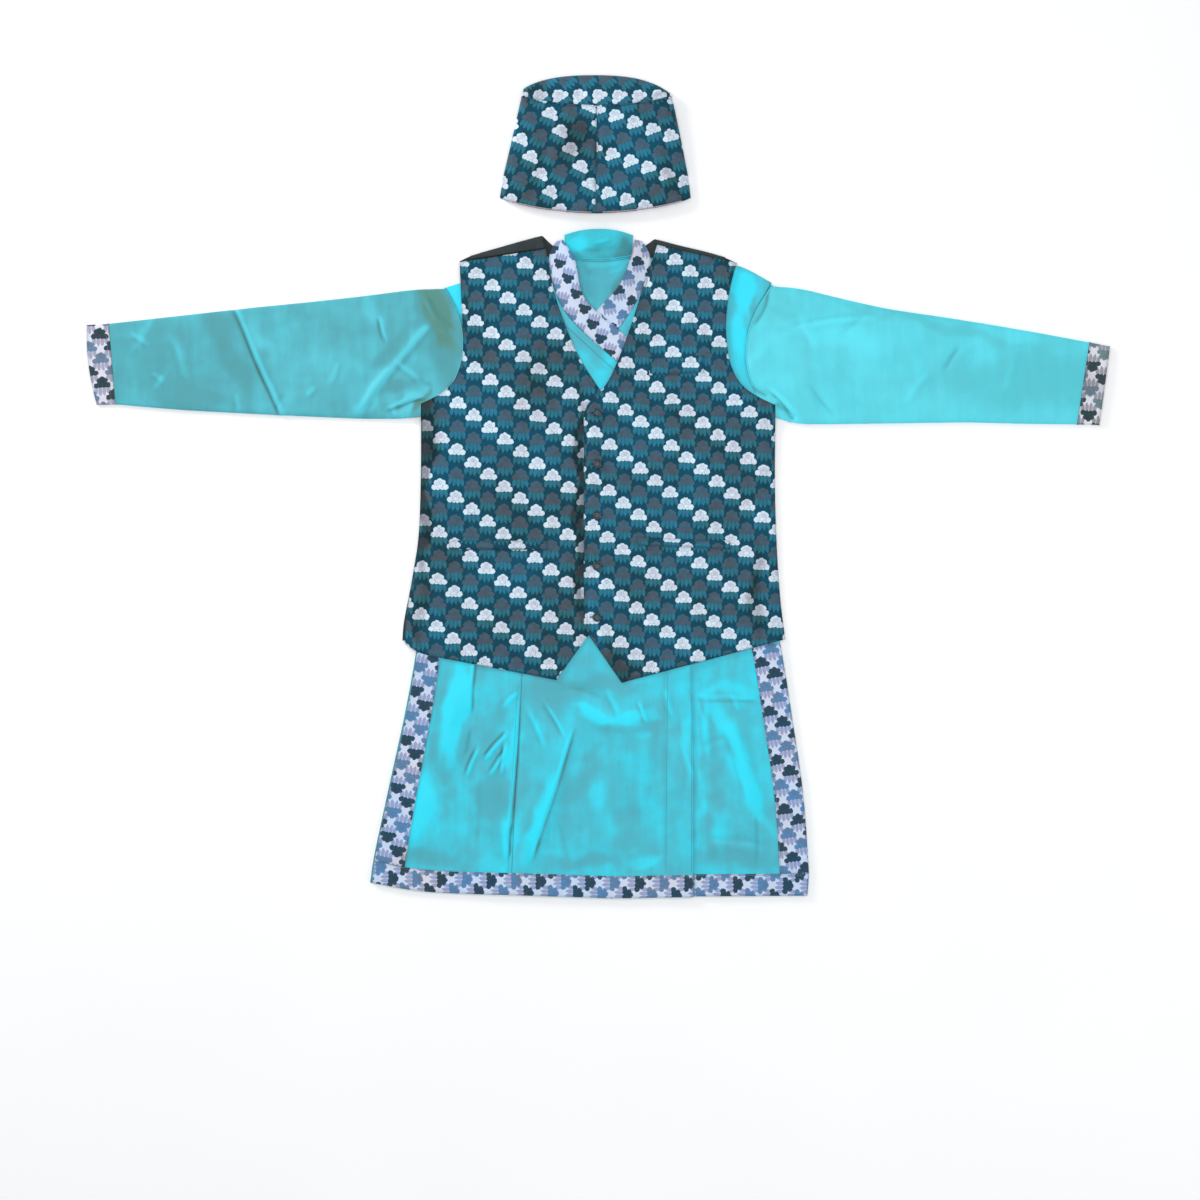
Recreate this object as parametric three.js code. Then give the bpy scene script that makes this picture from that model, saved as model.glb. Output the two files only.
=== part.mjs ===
// A three-piece suit laid flat, as it is set out for a catalogue: a long wrap-fronted tunic with its
// sleeves spread, the waistcoat buttoned over it, and the folded cap set above the collar.
// Millimetres. +X runs to the wearer's left cuff, +Y towards the cap, +Z up from the surface.
// The origin is the middle of the layout, on the surface it lies on.
import * as THREE from "three";

// Cloth and its layers
const CLOTH = 1.2; // wall of one layer of cloth, with its turned edges
const CAP_WALL = 2; // wall of the stiffened cap
const PLY = 1.6; // rise from one layer to the next that lies on it
const SEAM = 0.5; // space left between two pieces at a seam

// The underside of each layer where the waistcoat lies over the tunic
const LEVEL = {
  waistcoatBack: 0,
  tunicBack: PLY,
  underFront: 2 * PLY,
  overFront: 3 * PLY,
  waistcoat: 4 * PLY,
  overlap: 5 * PLY,
};

// Below the waistcoat's hem the tunic comes down on to the surface, between these two levels of Y
const LIFT_TOP = -236;
const LIFT_FOOT = -290;

const HALF_SPAN = 767; // half the width from cuff to cuff
const HALF_LENGTH = 617.5; // half the length from the cap's crown to the hem
const SLEEVE_THICK = 4.4; // a flattened sleeve, both layers and the air between them
const HEM_BAND = 33; // height of the printed band along the hem
const COLLAR_RISE = 8; // how far the collar's free edge stands above its seam

const COLOUR = {
  tunic: 0x45cfe0,
  print: 0x174d5c,
  paleprint: 0x9fb0c4,
  lining: 0x2c3836,
  button: 0x173f4d,
};

const clamp = (value, low = 0, high = 1) => Math.min(high, Math.max(low, value));
const mix = (a, b, share) => a + (b - a) * share;
const smooth = (share) => share * share * (3 - 2 * share);

// Reads a column of a table between its rows, with the rows in order of `key`.
function between(table, key, value, column) {
  const next = table.findIndex((row) => row[key] >= value);
  if (next < 0) return table[table.length - 1][column];
  if (next === 0) return table[0][column];
  const [a, b] = [table[next - 1], table[next]];
  return mix(a[column], b[column], (value - a[key]) / (b[key] - a[key]));
}

// How far the tunic is lifted by the waistcoat's back, which lies under it.
const lift = (y) => PLY * clamp((y - LIFT_FOOT) / (LIFT_TOP - LIFT_FOOT));

// The height that soft folds add at a point. A fold runs between two ends and dies out towards them.
function foldHeight(folds, x, y) {
  return folds.reduce((sum, fold) => {
    const [dx, dy] = [fold.x2 - fold.x1, fold.y2 - fold.y1];
    const length = Math.hypot(dx, dy);
    const along = ((x - fold.x1) * dx + (y - fold.y1) * dy) / length ** 2;
    const aside = Math.abs((x - fold.x1) * dy - (y - fold.y1) * dx) / length;
    const ends = smooth(clamp(Math.min(along, 1 - along) / 0.3));
    return sum + fold.high * ends * smooth(clamp(1 - aside / fold.half));
  }, 0);
}

// A closed body from its points and faces, turned so that its faces point out.
function closedBody(points, faces) {
  let volume = 0;
  for (let i = 0; i < faces.length; i += 3) {
    const [a, b, c] = [points[faces[i]], points[faces[i + 1]], points[faces[i + 2]]];
    volume += a.dot(b.clone().cross(c));
  }
  if (volume < 0) faces.reverse();
  const geometry = new THREE.BufferGeometry().setFromPoints(points);
  geometry.setIndex(faces);
  geometry.computeVertexNormals();
  return geometry;
}

// A wall of cloth between two grids of points, each given as rows of columns.
function wallBetween(over, under) {
  const rows = over.length;
  const columns = over[0].length;
  const at = (grid, i, j) => (grid * rows + i) * columns + j;
  const faces = [];
  const quad = (a, b, c, d) => faces.push(a, b, c, a, c, d);
  for (let i = 0; i + 1 < rows; i++) {
    for (let j = 0; j + 1 < columns; j++) {
      quad(at(0, i, j), at(0, i, j + 1), at(0, i + 1, j + 1), at(0, i + 1, j));
      quad(at(1, i, j), at(1, i + 1, j), at(1, i + 1, j + 1), at(1, i, j + 1));
    }
  }
  const lastRow = rows - 1;
  const lastColumn = columns - 1;
  for (let j = 0; j < lastColumn; j++) {
    quad(at(0, 0, j), at(1, 0, j), at(1, 0, j + 1), at(0, 0, j + 1));
    quad(at(0, lastRow, j), at(0, lastRow, j + 1), at(1, lastRow, j + 1), at(1, lastRow, j));
  }
  for (let i = 0; i < lastRow; i++) {
    quad(at(0, i, 0), at(0, i + 1, 0), at(1, i + 1, 0), at(1, i, 0));
    quad(at(0, i, lastColumn), at(1, i, lastColumn), at(1, i + 1, lastColumn), at(0, i + 1, lastColumn));
  }
  return closedBody([...over.flat(), ...under.flat()], faces);
}

const raised = (grid, rise) => grid.map((row) => row.map((p) => new THREE.Vector3(p.x, p.y, p.z + rise)));

// One layer of cloth that lies on a grid.
const layer = (grid, rise = 0, wall = CLOTH) => wallBetween(raised(grid, rise + wall), raised(grid, rise));

// The grid of a cut panel. Its rows run from the shoulder to the hem, each from the side to the front
// opening. The top and the hem may be shaped: `shift` moves a point along Y, and dies out over `fade`,
// after a stretch from the edge, `hold`, that moves whole.
function panelGrid({ rows, across, height, rowStep = 60, top, hem }) {
  const sections = [];
  let run = 0;
  rows.forEach((row, i) => {
    sections.push({ ...row, run });
    const next = rows[i + 1];
    if (!next) return;
    const sideRun = Math.hypot(next.sideX - row.sideX, next.sideY - row.sideY);
    const openRun = Math.hypot(next.openX - row.openX, next.openY - row.openY);
    const steps = Math.max(1, Math.round(Math.max(sideRun, openRun) / rowStep));
    for (let k = 1; k < steps; k++) {
      const section = { run: run + (k / steps) * (sideRun + openRun) * 0.5 };
      for (const key of ["sideX", "sideY", "openX", "openY"]) section[key] = mix(row[key], next[key], k / steps);
      sections.push(section);
    }
    run += (sideRun + openRun) * 0.5;
  });
  return sections.map((s) =>
    across.map((share) => {
      const x = mix(s.sideX, s.openX, share);
      let y = mix(s.sideY, s.openY, share);
      if (top) y += between(top.shape, "across", share, "shift") * clamp(1 - s.run / top.fade);
      if (hem) y += between(hem.shape, "across", share, "shift") * clamp((hem.fade - run + s.run) / (hem.fade - hem.hold));
      return new THREE.Vector3(x, y, height(x, y, share));
    }),
  );
}

// Armholes. The sleeve and the body panels meet on one line, bowed into the body.
const ARMHOLE_KNOTS = [0, 0.2, 0.35, 0.5, 0.65, 0.8, 1];
const ARMHOLE = {
  right: { topX: -229.5, topY: 298, underX: -253, underY: 104, bow: 39 },
  left: { topX: 260, topY: 302, underX: 257, underY: 103, bow: -39 },
};

// The bow of an armhole line as a share of its depth, straight between the knots.
function bowShare(share) {
  const knots = ARMHOLE_KNOTS.map((knot) => ({ knot, bow: 4 * knot * (1 - knot) }));
  return between(knots, "knot", share, "bow");
}

// The side of each body panel where it meets the sleeve, one row for each knot.
function armholeSide(side) {
  const hole = ARMHOLE[side];
  const inward = side === "right" ? SEAM : -SEAM;
  return ARMHOLE_KNOTS.map((share) => ({
    sideX: mix(hole.topX, hole.underX, share) + hole.bow * bowShare(share) + inward,
    sideY: mix(hole.topY, hole.underY, share),
  }));
}

// Necklines. Each row is a place on the front's neck edge and on the collar's free edge beside it.
// The first two rows of a collar pass round the side of the neck, above the shoulder seam.
const NECK = {
  right: [
    { edgeX: -62, edgeY: 368, freeX: -53, freeY: 369, rise: 0.5 },
    { edgeX: -69, edgeY: 359, freeX: -47, freeY: 359, rise: 0.9 },
    { edgeX: -75, edgeY: 345, freeX: -41, freeY: 350, rise: 1 },
    { edgeX: -74, edgeY: 328, freeX: -34, freeY: 338, rise: 1 },
    { edgeX: -70, edgeY: 308, freeX: -31, freeY: 318, rise: 0.9 },
    { edgeX: -64, edgeY: 288, freeX: -28, freeY: 297, rise: 0.6 },
    { edgeX: -50, edgeY: 259, freeX: -19, freeY: 276, rise: 0.25 },
    { edgeX: -20, edgeY: 229, freeX: 3, freeY: 257, rise: 0 },
    { edgeX: 4, edgeY: 208, freeX: 28, freeY: 237, rise: 0 },
    { edgeX: 28, edgeY: 187, freeX: 50, freeY: 217, rise: 0 },
  ],
  left: [
    { edgeX: 65, edgeY: 368, freeX: 55, freeY: 369, rise: 0.5 },
    { edgeX: 73, edgeY: 358, freeX: 52, freeY: 358, rise: 0.9 },
    { edgeX: 79, edgeY: 343, freeX: 48, freeY: 344, rise: 1 },
    { edgeX: 78.5, edgeY: 325, freeX: 44, freeY: 328, rise: 1 },
    { edgeX: 70, edgeY: 305, freeX: 38, freeY: 313, rise: 0.9 },
    { edgeX: 61, edgeY: 284, freeX: 29, freeY: 297, rise: 0.6 },
    { edgeX: 45, edgeY: 257, freeX: 15, freeY: 282, rise: 0.15 },
    { edgeX: 31, edgeY: 238, freeX: -2, freeY: 266, rise: 0 },
    { edgeX: 10, edgeY: 215, freeX: -18, freeY: 245, rise: 0 },
    { edgeX: -8, edgeY: 195, freeX: -35, freeY: 222, rise: 0 },
  ],
};
const NECK_TURN = 2; // rows of a collar that lie above the shoulder seam

// The neck edge of a front, one row for each place on the collar below the shoulder.
const neckOpening = (side) =>
  NECK[side].slice(NECK_TURN).map((row) => ({
    openX: row.edgeX + (side === "right" ? -SEAM : SEAM),
    openY: row.edgeY - SEAM,
  }));

// Folds of the tunic: two ends, half the width and the height of each.
const SKIRT_FOLDS = [
  { x1: -37, y1: -352, x2: -128, y2: -566, half: 26, high: 4.5 },
  { x1: -140, y1: -262, x2: -138, y2: -566, half: 24, high: 3.5 },
  { x1: -222, y1: -262, x2: -246, y2: -500, half: 38, high: 4 },
  { x1: 30, y1: -270, x2: 60, y2: -470, half: 60, high: 4 },
  { x1: 0, y1: -440, x2: 40, y2: -570, half: 44, high: 2.5 },
];
const GORE_FOLDS = [
  { x1: 196, y1: -310, x2: 238, y2: -560, half: 24, high: 3.5 },
  { x1: 186, y1: -262, x2: 190, y2: -440, half: 16, high: 2.5 },
];
const SLEEVE_FOLDS = {
  right: [
    { x1: -543, y1: 290, x2: -471, y2: 80, half: 14, high: 3 },
    { x1: -240, y1: 262, x2: -372, y2: 88, half: 26, high: 4 },
    { x1: -352, y1: 300, x2: -322, y2: 190, half: 22, high: 2 },
    { x1: -262, y1: 300, x2: -222, y2: 200, half: 18, high: 2 },
  ],
  left: [
    { x1: 300, y1: 190, x2: 362, y2: 84, half: 22, high: 2.5 },
    { x1: 300, y1: 310, x2: 286, y2: 190, half: 20, high: 2 },
    { x1: 548, y1: 228, x2: 508, y2: 150, half: 20, high: 1.6 },
    { x1: 380, y1: 220, x2: 560, y2: 200, half: 26, high: 1.4 },
  ],
};
const WAISTCOAT_FOLDS = [
  { x1: -150, y1: 290, x2: -140, y2: -40, half: 52, high: 2.6 },
  { x1: -236, y1: 90, x2: -232, y2: -60, half: 26, high: 1.8 },
  { x1: -190, y1: -112, x2: -150, y2: -250, half: 50, high: 2.4 },
  { x1: -80, y1: -112, x2: -78, y2: -250, half: 26, high: 1.6 },
  { x1: 190, y1: 150, x2: 150, y2: -50, half: 46, high: 2.6 },
  { x1: 120, y1: 330, x2: 130, y2: 215, half: 40, high: 1.8 },
  { x1: 190, y1: -108, x2: 150, y2: -250, half: 50, high: 2.4 },
];

const FACING_X = 104; // the turned facing of the over front runs from here to its free edge
const FACING_EDGE = 137;
const FACING_RISE = 1;

// The over front lies on the under front, and comes down on to the back towards its own side.
const overFrontHeight = (x, y) => {
  const onUnderFront = smooth(clamp((x + 200) / 90));
  const facing = FACING_RISE * clamp((x - FACING_X + 4) / 6) * clamp((LIFT_TOP - y) / 40);
  return PLY * (1 + onUnderFront) + lift(y) + facing + foldHeight(SKIRT_FOLDS, x, y);
};
const underFrontHeight = (x, y) => PLY + lift(y) + foldHeight(GORE_FOLDS, x, y);

// Pairs each place on a panel's side with the one opposite on its front opening.
const sections = (side, open) => side.map((place, i) => ({ ...place, ...open[i] }));
const offSeam = (row, gap) => ({ sideX: row.seamX + gap, sideY: row.seamY });

// The seam between the over front and its side panel, from the armhole to the hem.
const PRINCESS_SEAM = [
  { seamX: -178, seamY: 100 },
  { seamX: -150, seamY: 70 },
  { seamX: -134, seamY: 40 },
  { seamX: -122, seamY: 5 },
  { seamX: -118, seamY: -40 },
  { seamX: -114, seamY: -110 },
  { seamX: -113, seamY: LIFT_TOP },
  { seamX: -115, seamY: LIFT_FOOT },
  { seamX: -118, seamY: -353 },
  { seamX: -122, seamY: -419 },
  { seamX: -126, seamY: -484 },
  { seamX: -130, seamY: -HALF_LENGTH + 5 + HEM_BAND },
  { seamX: -133, seamY: -HALF_LENGTH + 5 },
];

function overFrontGrid() {
  const side = [
    ...armholeSide("right").slice(0, 6),
    ...PRINCESS_SEAM.map((row) => offSeam(row, SEAM / 2)),
  ];
  const open = [
    ...neckOpening("right"),
    { openX: 60, openY: 163 },
    { openX: 92, openY: 137 },
    { openX: FACING_EDGE, openY: 85 },
    { openX: FACING_EDGE, openY: -20 },
    { openX: FACING_EDGE, openY: LIFT_TOP },
    { openX: 138, openY: LIFT_FOOT },
    { openX: 141, openY: -353 },
    { openX: 142, openY: -419 },
    { openX: 142, openY: -484 },
    { openX: 142, openY: -HALF_LENGTH + 2 + HEM_BAND },
    { openX: 142, openY: -HALF_LENGTH + 2 },
  ];
  return panelGrid({
    rows: sections(side, open),
    across: [0, 0.08, 0.17, 0.27, 0.37, 0.47, 0.57, 0.68, 0.78, 0.85, 0.9, 1],
    height: overFrontHeight,
    hem: { fade: 120, hold: HEM_BAND, shape: [{ across: 0, shift: 0 }, { across: 0.57, shift: -3.29 }, { across: 1, shift: 0 }] },
  });
}

const RIGHT_BORDER = 0.22; // share of the side panel that the printed side border covers

const SIDE_PANEL_HEM = [
  { across: 0, shift: 0 },
  { across: 0.22, shift: -5 },
  { across: 0.42, shift: -7 },
  { across: 0.78, shift: -3 },
  { across: 1, shift: 0 },
];

function sidePanelGrid() {
  const armhole = armholeSide("right");
  const side = [
    { ...armhole[5], sideY: armhole[5].sideY - 1.5 },
    armhole[6],
    { sideX: -256, sideY: 70 },
    { sideX: -256, sideY: 40 },
    { sideX: -256, sideY: 5 },
    { sideX: -257, sideY: -40 },
    { sideX: -261, sideY: -110 },
    { sideX: -270, sideY: LIFT_TOP },
    { sideX: -278, sideY: LIFT_FOOT },
    { sideX: -290, sideY: -353 },
    { sideX: -305, sideY: -419 },
    { sideX: -320, sideY: -484 },
    { sideX: -336, sideY: -562 },
    { sideX: -340, sideY: -594 },
  ];
  const open = PRINCESS_SEAM.map((row) => ({ openX: row.seamX - SEAM / 2, openY: row.seamY }));
  open.unshift({ openX: armhole[5].sideX + 4, openY: armhole[5].sideY - 5 });
  return panelGrid({
    rows: sections(side, open),
    across: [0, RIGHT_BORDER / 2, RIGHT_BORDER, 0.36, 0.5, 0.64, 0.78, 0.89, 1],
    height: overFrontHeight,
    hem: { fade: 120, hold: HEM_BAND, shape: SIDE_PANEL_HEM },
  });
}

const LEFT_BORDER = 0.14; // share of the under front that the printed side border covers

// The left shoulder swells over the sleeve head, beside the waistcoat.
const SHOULDER_SWELL = [
  { across: 0, shift: 3 },
  { across: 0.14, shift: 12 },
  { across: 0.27, shift: 18 },
  { across: 0.48, shift: 8 },
  { across: 0.7, shift: 0 },
  { across: 1, shift: 0 },
];

function underFrontGrid() {
  const side = [
    ...armholeSide("left"),
    { sideX: 252, sideY: 60 },
    { sideX: 252, sideY: 0 },
    { sideX: 253, sideY: -120 },
    { sideX: 272.5, sideY: LIFT_TOP },
    { sideX: 282, sideY: LIFT_FOOT },
    { sideX: 291, sideY: -353 },
    { sideX: 302, sideY: -419 },
    { sideX: 309.5, sideY: -484 },
    { sideX: 315.5, sideY: -HALF_LENGTH + 4 + HEM_BAND },
    { sideX: 313, sideY: -HALF_LENGTH + 4 },
  ];
  const open = [
    ...neckOpening("left"),
    { openX: -35, openY: -20 },
    { openX: -40, openY: -120 },
    { openX: -40, openY: LIFT_TOP },
    { openX: -30, openY: LIFT_FOOT },
    { openX: -20, openY: -353 },
    { openX: -10, openY: -419 },
    { openX: 0, openY: -484 },
    { openX: 5, openY: -HALF_LENGTH + 2 + HEM_BAND },
    { openX: 5, openY: -HALF_LENGTH + 2 },
  ];
  return panelGrid({
    rows: sections(side, open),
    across: [0, LEFT_BORDER / 2, LEFT_BORDER, 0.2, 0.27, 0.34, 0.41, 0.48, 0.56, 0.7, 0.85, 1],
    height: underFrontHeight,
    top: { fade: 70, shape: SHOULDER_SWELL },
  });
}

const BACK_MARGIN = 2.5; // the back shows this far outside the front at the right side

function tunicBackGrid() {
  const right = [
    ...armholeSide("right"),
    { sideX: -256, sideY: 60 },
    { sideX: -256, sideY: -60 },
    { sideX: -271, sideY: LIFT_TOP },
    { sideX: -278 - BACK_MARGIN, sideY: LIFT_FOOT },
    { sideX: -290 - BACK_MARGIN, sideY: -353 },
    { sideX: -305 - BACK_MARGIN, sideY: -419 },
    { sideX: -336 - BACK_MARGIN, sideY: -562 },
    { sideX: -340 - BACK_MARGIN, sideY: -594 },
  ];
  const left = [
    ...armholeSide("left"),
    { sideX: 252, sideY: 60 },
    { sideX: 252, sideY: -60 },
    { sideX: 271.5, sideY: LIFT_TOP },
    { sideX: 281, sideY: LIFT_FOOT },
    { sideX: 290, sideY: -353 },
    { sideX: 301, sideY: -419 },
    { sideX: 314.5, sideY: -570 },
    { sideX: 312, sideY: -HALF_LENGTH + 5 },
  ];
  const shoulderAndNeck = [
    { across: 0, shift: 0 },
    { across: 0.315, shift: 45 },
    { across: 0.366, shift: 44 },
    { across: 0.417, shift: 40 },
    { across: 0.468, shift: 38 },
    { across: 0.526, shift: 40 },
    { across: 0.575, shift: 44 },
    { across: 0.632, shift: 43 },
    { across: 1, shift: 0 },
  ];
  return panelGrid({
    rows: right.map((place, i) => ({ ...place, openX: left[i].sideX, openY: left[i].sideY })),
    across: [0, 0.08, 0.16, 0.24, 0.315, 0.366, 0.417, 0.468, 0.526, 0.575, 0.632, 0.72, 0.81, 0.9, 1],
    height: (x, y) => lift(y),
    top: { fade: 150, shape: shoulderAndNeck },
    hem: { fade: 100, hold: 0, shape: [{ across: 0, shift: 0 }, { across: 0.35, shift: -9 }, { across: 1, shift: 0 }] },
  });
}

// Points round a flattened tube, with the share of the way across it and how much of its height the
// upper wall has risen and the lower wall has sunk there. The second half mirrors the first.
const ROUND = [
  { across: 0, rise: 0, sink: 0 },
  { across: 0.02, rise: 0.62, sink: 0.8 },
  { across: 0.07, rise: 0.86, sink: 1 },
  { across: 0.2, rise: 0.96, sink: 1 },
  { across: 0.35, rise: 1, sink: 1 },
  { across: 0.5, rise: 1, sink: 1 },
];
const ACROSS = [...ROUND, ...ROUND.slice(0, -1).reverse().map((p) => ({ ...p, across: 1 - p.across }))];

// The points round one station of a flattened sleeve. `inset` is 0 for the outside and the wall for the inside.
function sleeveRing(station, folds, inset) {
  const width = Math.hypot(station.underX - station.topX, station.underY - station.topY);
  const half = station.thick / 2;
  const point = (place, upper) => {
    const share = mix(inset / width, 1 - inset / width, place.across);
    const x = mix(station.topX, station.underX, share) + station.bow * bowShare(share);
    const y = mix(station.topY, station.underY, share);
    const crease = foldHeight(folds, x, y) * station.loose;
    const high = (half - inset + station.puff) * place.rise + crease * place.rise;
    const low = -(half - inset) * place.sink;
    return new THREE.Vector3(x, y, station.lift + half + (upper ? high : low));
  };
  const upper = ACROSS.map((place) => point(place, true));
  const lower = ACROSS.slice(1, -1).reverse().map((place) => point(place, false));
  return [...upper, ...lower];
}

// A tube open at both ends, from its stations.
function openTube(stations, folds) {
  const outer = stations.map((station) => sleeveRing(station, folds, 0));
  const inner = stations.map((station) => sleeveRing(station, folds, CLOTH));
  const round = outer[0].length;
  const at = (wall, i, j) => (wall * stations.length + i) * round + (j % round);
  const faces = [];
  const quad = (a, b, c, d) => faces.push(a, b, c, a, c, d);
  const last = stations.length - 1;
  for (let j = 0; j < round; j++) {
    for (let i = 0; i < last; i++) {
      quad(at(0, i, j), at(0, i + 1, j), at(0, i + 1, j + 1), at(0, i, j + 1));
      quad(at(1, i, j), at(1, i, j + 1), at(1, i + 1, j + 1), at(1, i + 1, j));
    }
    quad(at(0, 0, j), at(0, 0, j + 1), at(1, 0, j + 1), at(1, 0, j));
    quad(at(0, last, j), at(1, last, j), at(1, last, j + 1), at(0, last, j + 1));
  }
  return closedBody([...outer.flat(), ...inner.flat()], faces);
}

// Adds stations between those of a table, so that no stretch is longer than `step`.
function withStationsBetween(table, step) {
  return table.flatMap((row, i) => {
    const next = table[i + 1];
    if (!next) return [row];
    const steps = Math.max(1, Math.round(Math.abs(next.topX - row.topX) / step));
    return Array.from({ length: steps }, (_, k) =>
      Object.fromEntries(Object.keys(row).map((key) => [key, mix(row[key], next[key], k / steps)])),
    );
  });
}

// Sleeves, from the cuff seam to the armhole: the upper and lower edge of the flattened tube, how far
// it is bowed and lifted, how far it puffs up and how much of its folds it shows.
const SLEEVE = {
  right: [
    { topX: -734, topY: 244.8, underX: -724, underY: 122.2, bow: 0, lift: 0, puff: 0.3, loose: 1 },
    { topX: -645, topY: 254.8, underX: -618, underY: 113.2, bow: 0, lift: 0, puff: 1.4, loose: 1 },
    { topX: -557, topY: 264.8, underX: -487, underY: 106.2, bow: 0, lift: 0, puff: 1.2, loose: 1 },
    { topX: -544, topY: 265.8, underX: -474, underY: 105.2, bow: 0, lift: 0, puff: 1.2, loose: 1 },
    { topX: -531, topY: 267.8, underX: -461, underY: 105.2, bow: 0, lift: 0, puff: 1.2, loose: 1 },
    { topX: -440, topY: 276.8, underX: -400, underY: 102.2, bow: 0, lift: 0, puff: 1.4, loose: 1 },
    { topX: -366, topY: 284.8, underX: -352, underY: 100.2, bow: 3, lift: 0, puff: 1.4, loose: 1 },
    { topX: -318, topY: 290.8, underX: -318, underY: 100.2, bow: 7, lift: 0.4, puff: 1, loose: 1 },
    { topX: -274, topY: 296.8, underX: -285, underY: 100.2, bow: 20, lift: PLY, puff: 0.3, loose: 0.6 },
    { topX: -230, topY: 298, underX: -253.5, underY: 104, bow: 39, lift: PLY, puff: 0, loose: 0 },
  ],
  left: [
    { topX: 736, topY: 216.8, underX: 717, underY: 92.2, bow: 0, lift: 0, puff: 0.3, loose: 1 },
    { topX: 650, topY: 232.8, underX: 632, underY: 93.2, bow: 0, lift: 0, puff: 1.4, loose: 1 },
    { topX: 574, topY: 245.8, underX: 555, underY: 95.2, bow: 0, lift: 0, puff: 1.4, loose: 1 },
    { topX: 504, topY: 256.8, underX: 485, underY: 94.2, bow: 0, lift: 0, puff: 1.4, loose: 1 },
    { topX: 434, topY: 266.8, underX: 420, underY: 93.2, bow: 0, lift: 0, puff: 1.4, loose: 1 },
    { topX: 360, topY: 283.8, underX: 354, underY: 92.2, bow: -6, lift: 0, puff: 1.4, loose: 1 },
    { topX: 300, topY: 298.8, underX: 296, underY: 92.2, bow: -20, lift: PLY, puff: 0.4, loose: 0.6 },
    { topX: 260.5, topY: 302, underX: 257.5, underY: 103, bow: -39, lift: PLY, puff: 0, loose: 0 },
  ],
};

// Printed cuffs, from the wrist edge to the seam with the sleeve.
const CUFF = {
  right: [
    { topX: -HALF_SPAN, topY: 242.8, underX: -752, underY: 121.5, bow: -5 },
    { topX: -734 - SEAM, topY: 244.8, underX: -724 - SEAM, underY: 122.2, bow: 0 },
  ],
  left: [
    { topX: HALF_SPAN, topY: 210.8, underX: 751, underY: 91.2, bow: 0 },
    { topX: 736 + SEAM, topY: 216.8, underX: 717 + SEAM, underY: 92.2, bow: 0 },
  ],
};

function sleeve(side) {
  const stations = withStationsBetween(SLEEVE[side], 30).map((row) => ({ ...row, thick: SLEEVE_THICK }));
  return openTube(stations, SLEEVE_FOLDS[side]);
}

function cuff(side) {
  const worn = { lift: 0, puff: 0.3, loose: 0, thick: SLEEVE_THICK };
  return openTube(withStationsBetween(CUFF[side].map((row) => ({ ...row, ...worn })), 12), []);
}

// Half of the front of the collar: it lies on its neckline and its free edge stands up.
function collarFront(side, level) {
  const across = [
    { share: 0, rise: 0 },
    { share: 0.28, rise: 0.02 },
    { share: 0.62, rise: 0.6 },
    { share: 1, rise: 1 },
  ];
  return NECK[side].map((row) =>
    across.map(({ share, rise }) => {
      const x = mix(row.edgeX, row.freeX, share);
      const y = mix(row.edgeY, row.freeY, share);
      return new THREE.Vector3(x, y, level + COLLAR_RISE * row.rise * rise);
    }),
  );
}

// The back of the collar stands up from the back neckline and shows its inside.
function collarBack() {
  const places = [
    { neckX: -49.5, neckY: 344, freeX: -51, freeY: 376.5 },
    { neckX: -25, neckY: 339.6, freeX: -28, freeY: 384 },
    { neckX: -0.6, neckY: 338.2, freeX: 0, freeY: 386.5 },
    { neckX: 28, neckY: 340.6, freeX: 29, freeY: 384 },
    { neckX: 50, neckY: 344.6, freeX: 52, freeY: 376 },
  ];
  const heights = [
    { share: 1, rise: 6.5 },
    { share: 0.7, rise: 5 },
    { share: 0.35, rise: 2 },
    { share: 0.03, rise: 0 },
  ];
  return heights.map(({ share, rise }) =>
    places.map((p) => {
      const x = mix(p.neckX, p.freeX, share);
      const y = mix(p.neckY, p.freeY, share) + SEAM * (1 - share);
      return new THREE.Vector3(x, y, PLY + rise);
    }),
  );
}

// Waistcoat. The fronts roll down to the back along their sides, below the armholes.
const ROLL_TOP = 100;
const ROLL_FOOT = 82;
const ROLL_WIDTH = 0.035; // share of a front's width that rolls down

function frontHeight(x, y, across) {
  const rolled = clamp(1 - across / ROLL_WIDTH) * clamp((ROLL_TOP - y) / (ROLL_TOP - ROLL_FOOT));
  return mix(LEVEL.waistcoat + foldHeight(WAISTCOAT_FOLDS, x, y), PLY, rolled);
}

const OVERLAP_INNER = 26; // the left front lies fully on the right one below this X
const OVERLAP_OUTER = 48;
const leftFrontHeight = (x, y, across) =>
  frontHeight(x, y, across) + PLY * clamp((OVERLAP_OUTER - x) / (OVERLAP_OUTER - OVERLAP_INNER));

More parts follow.
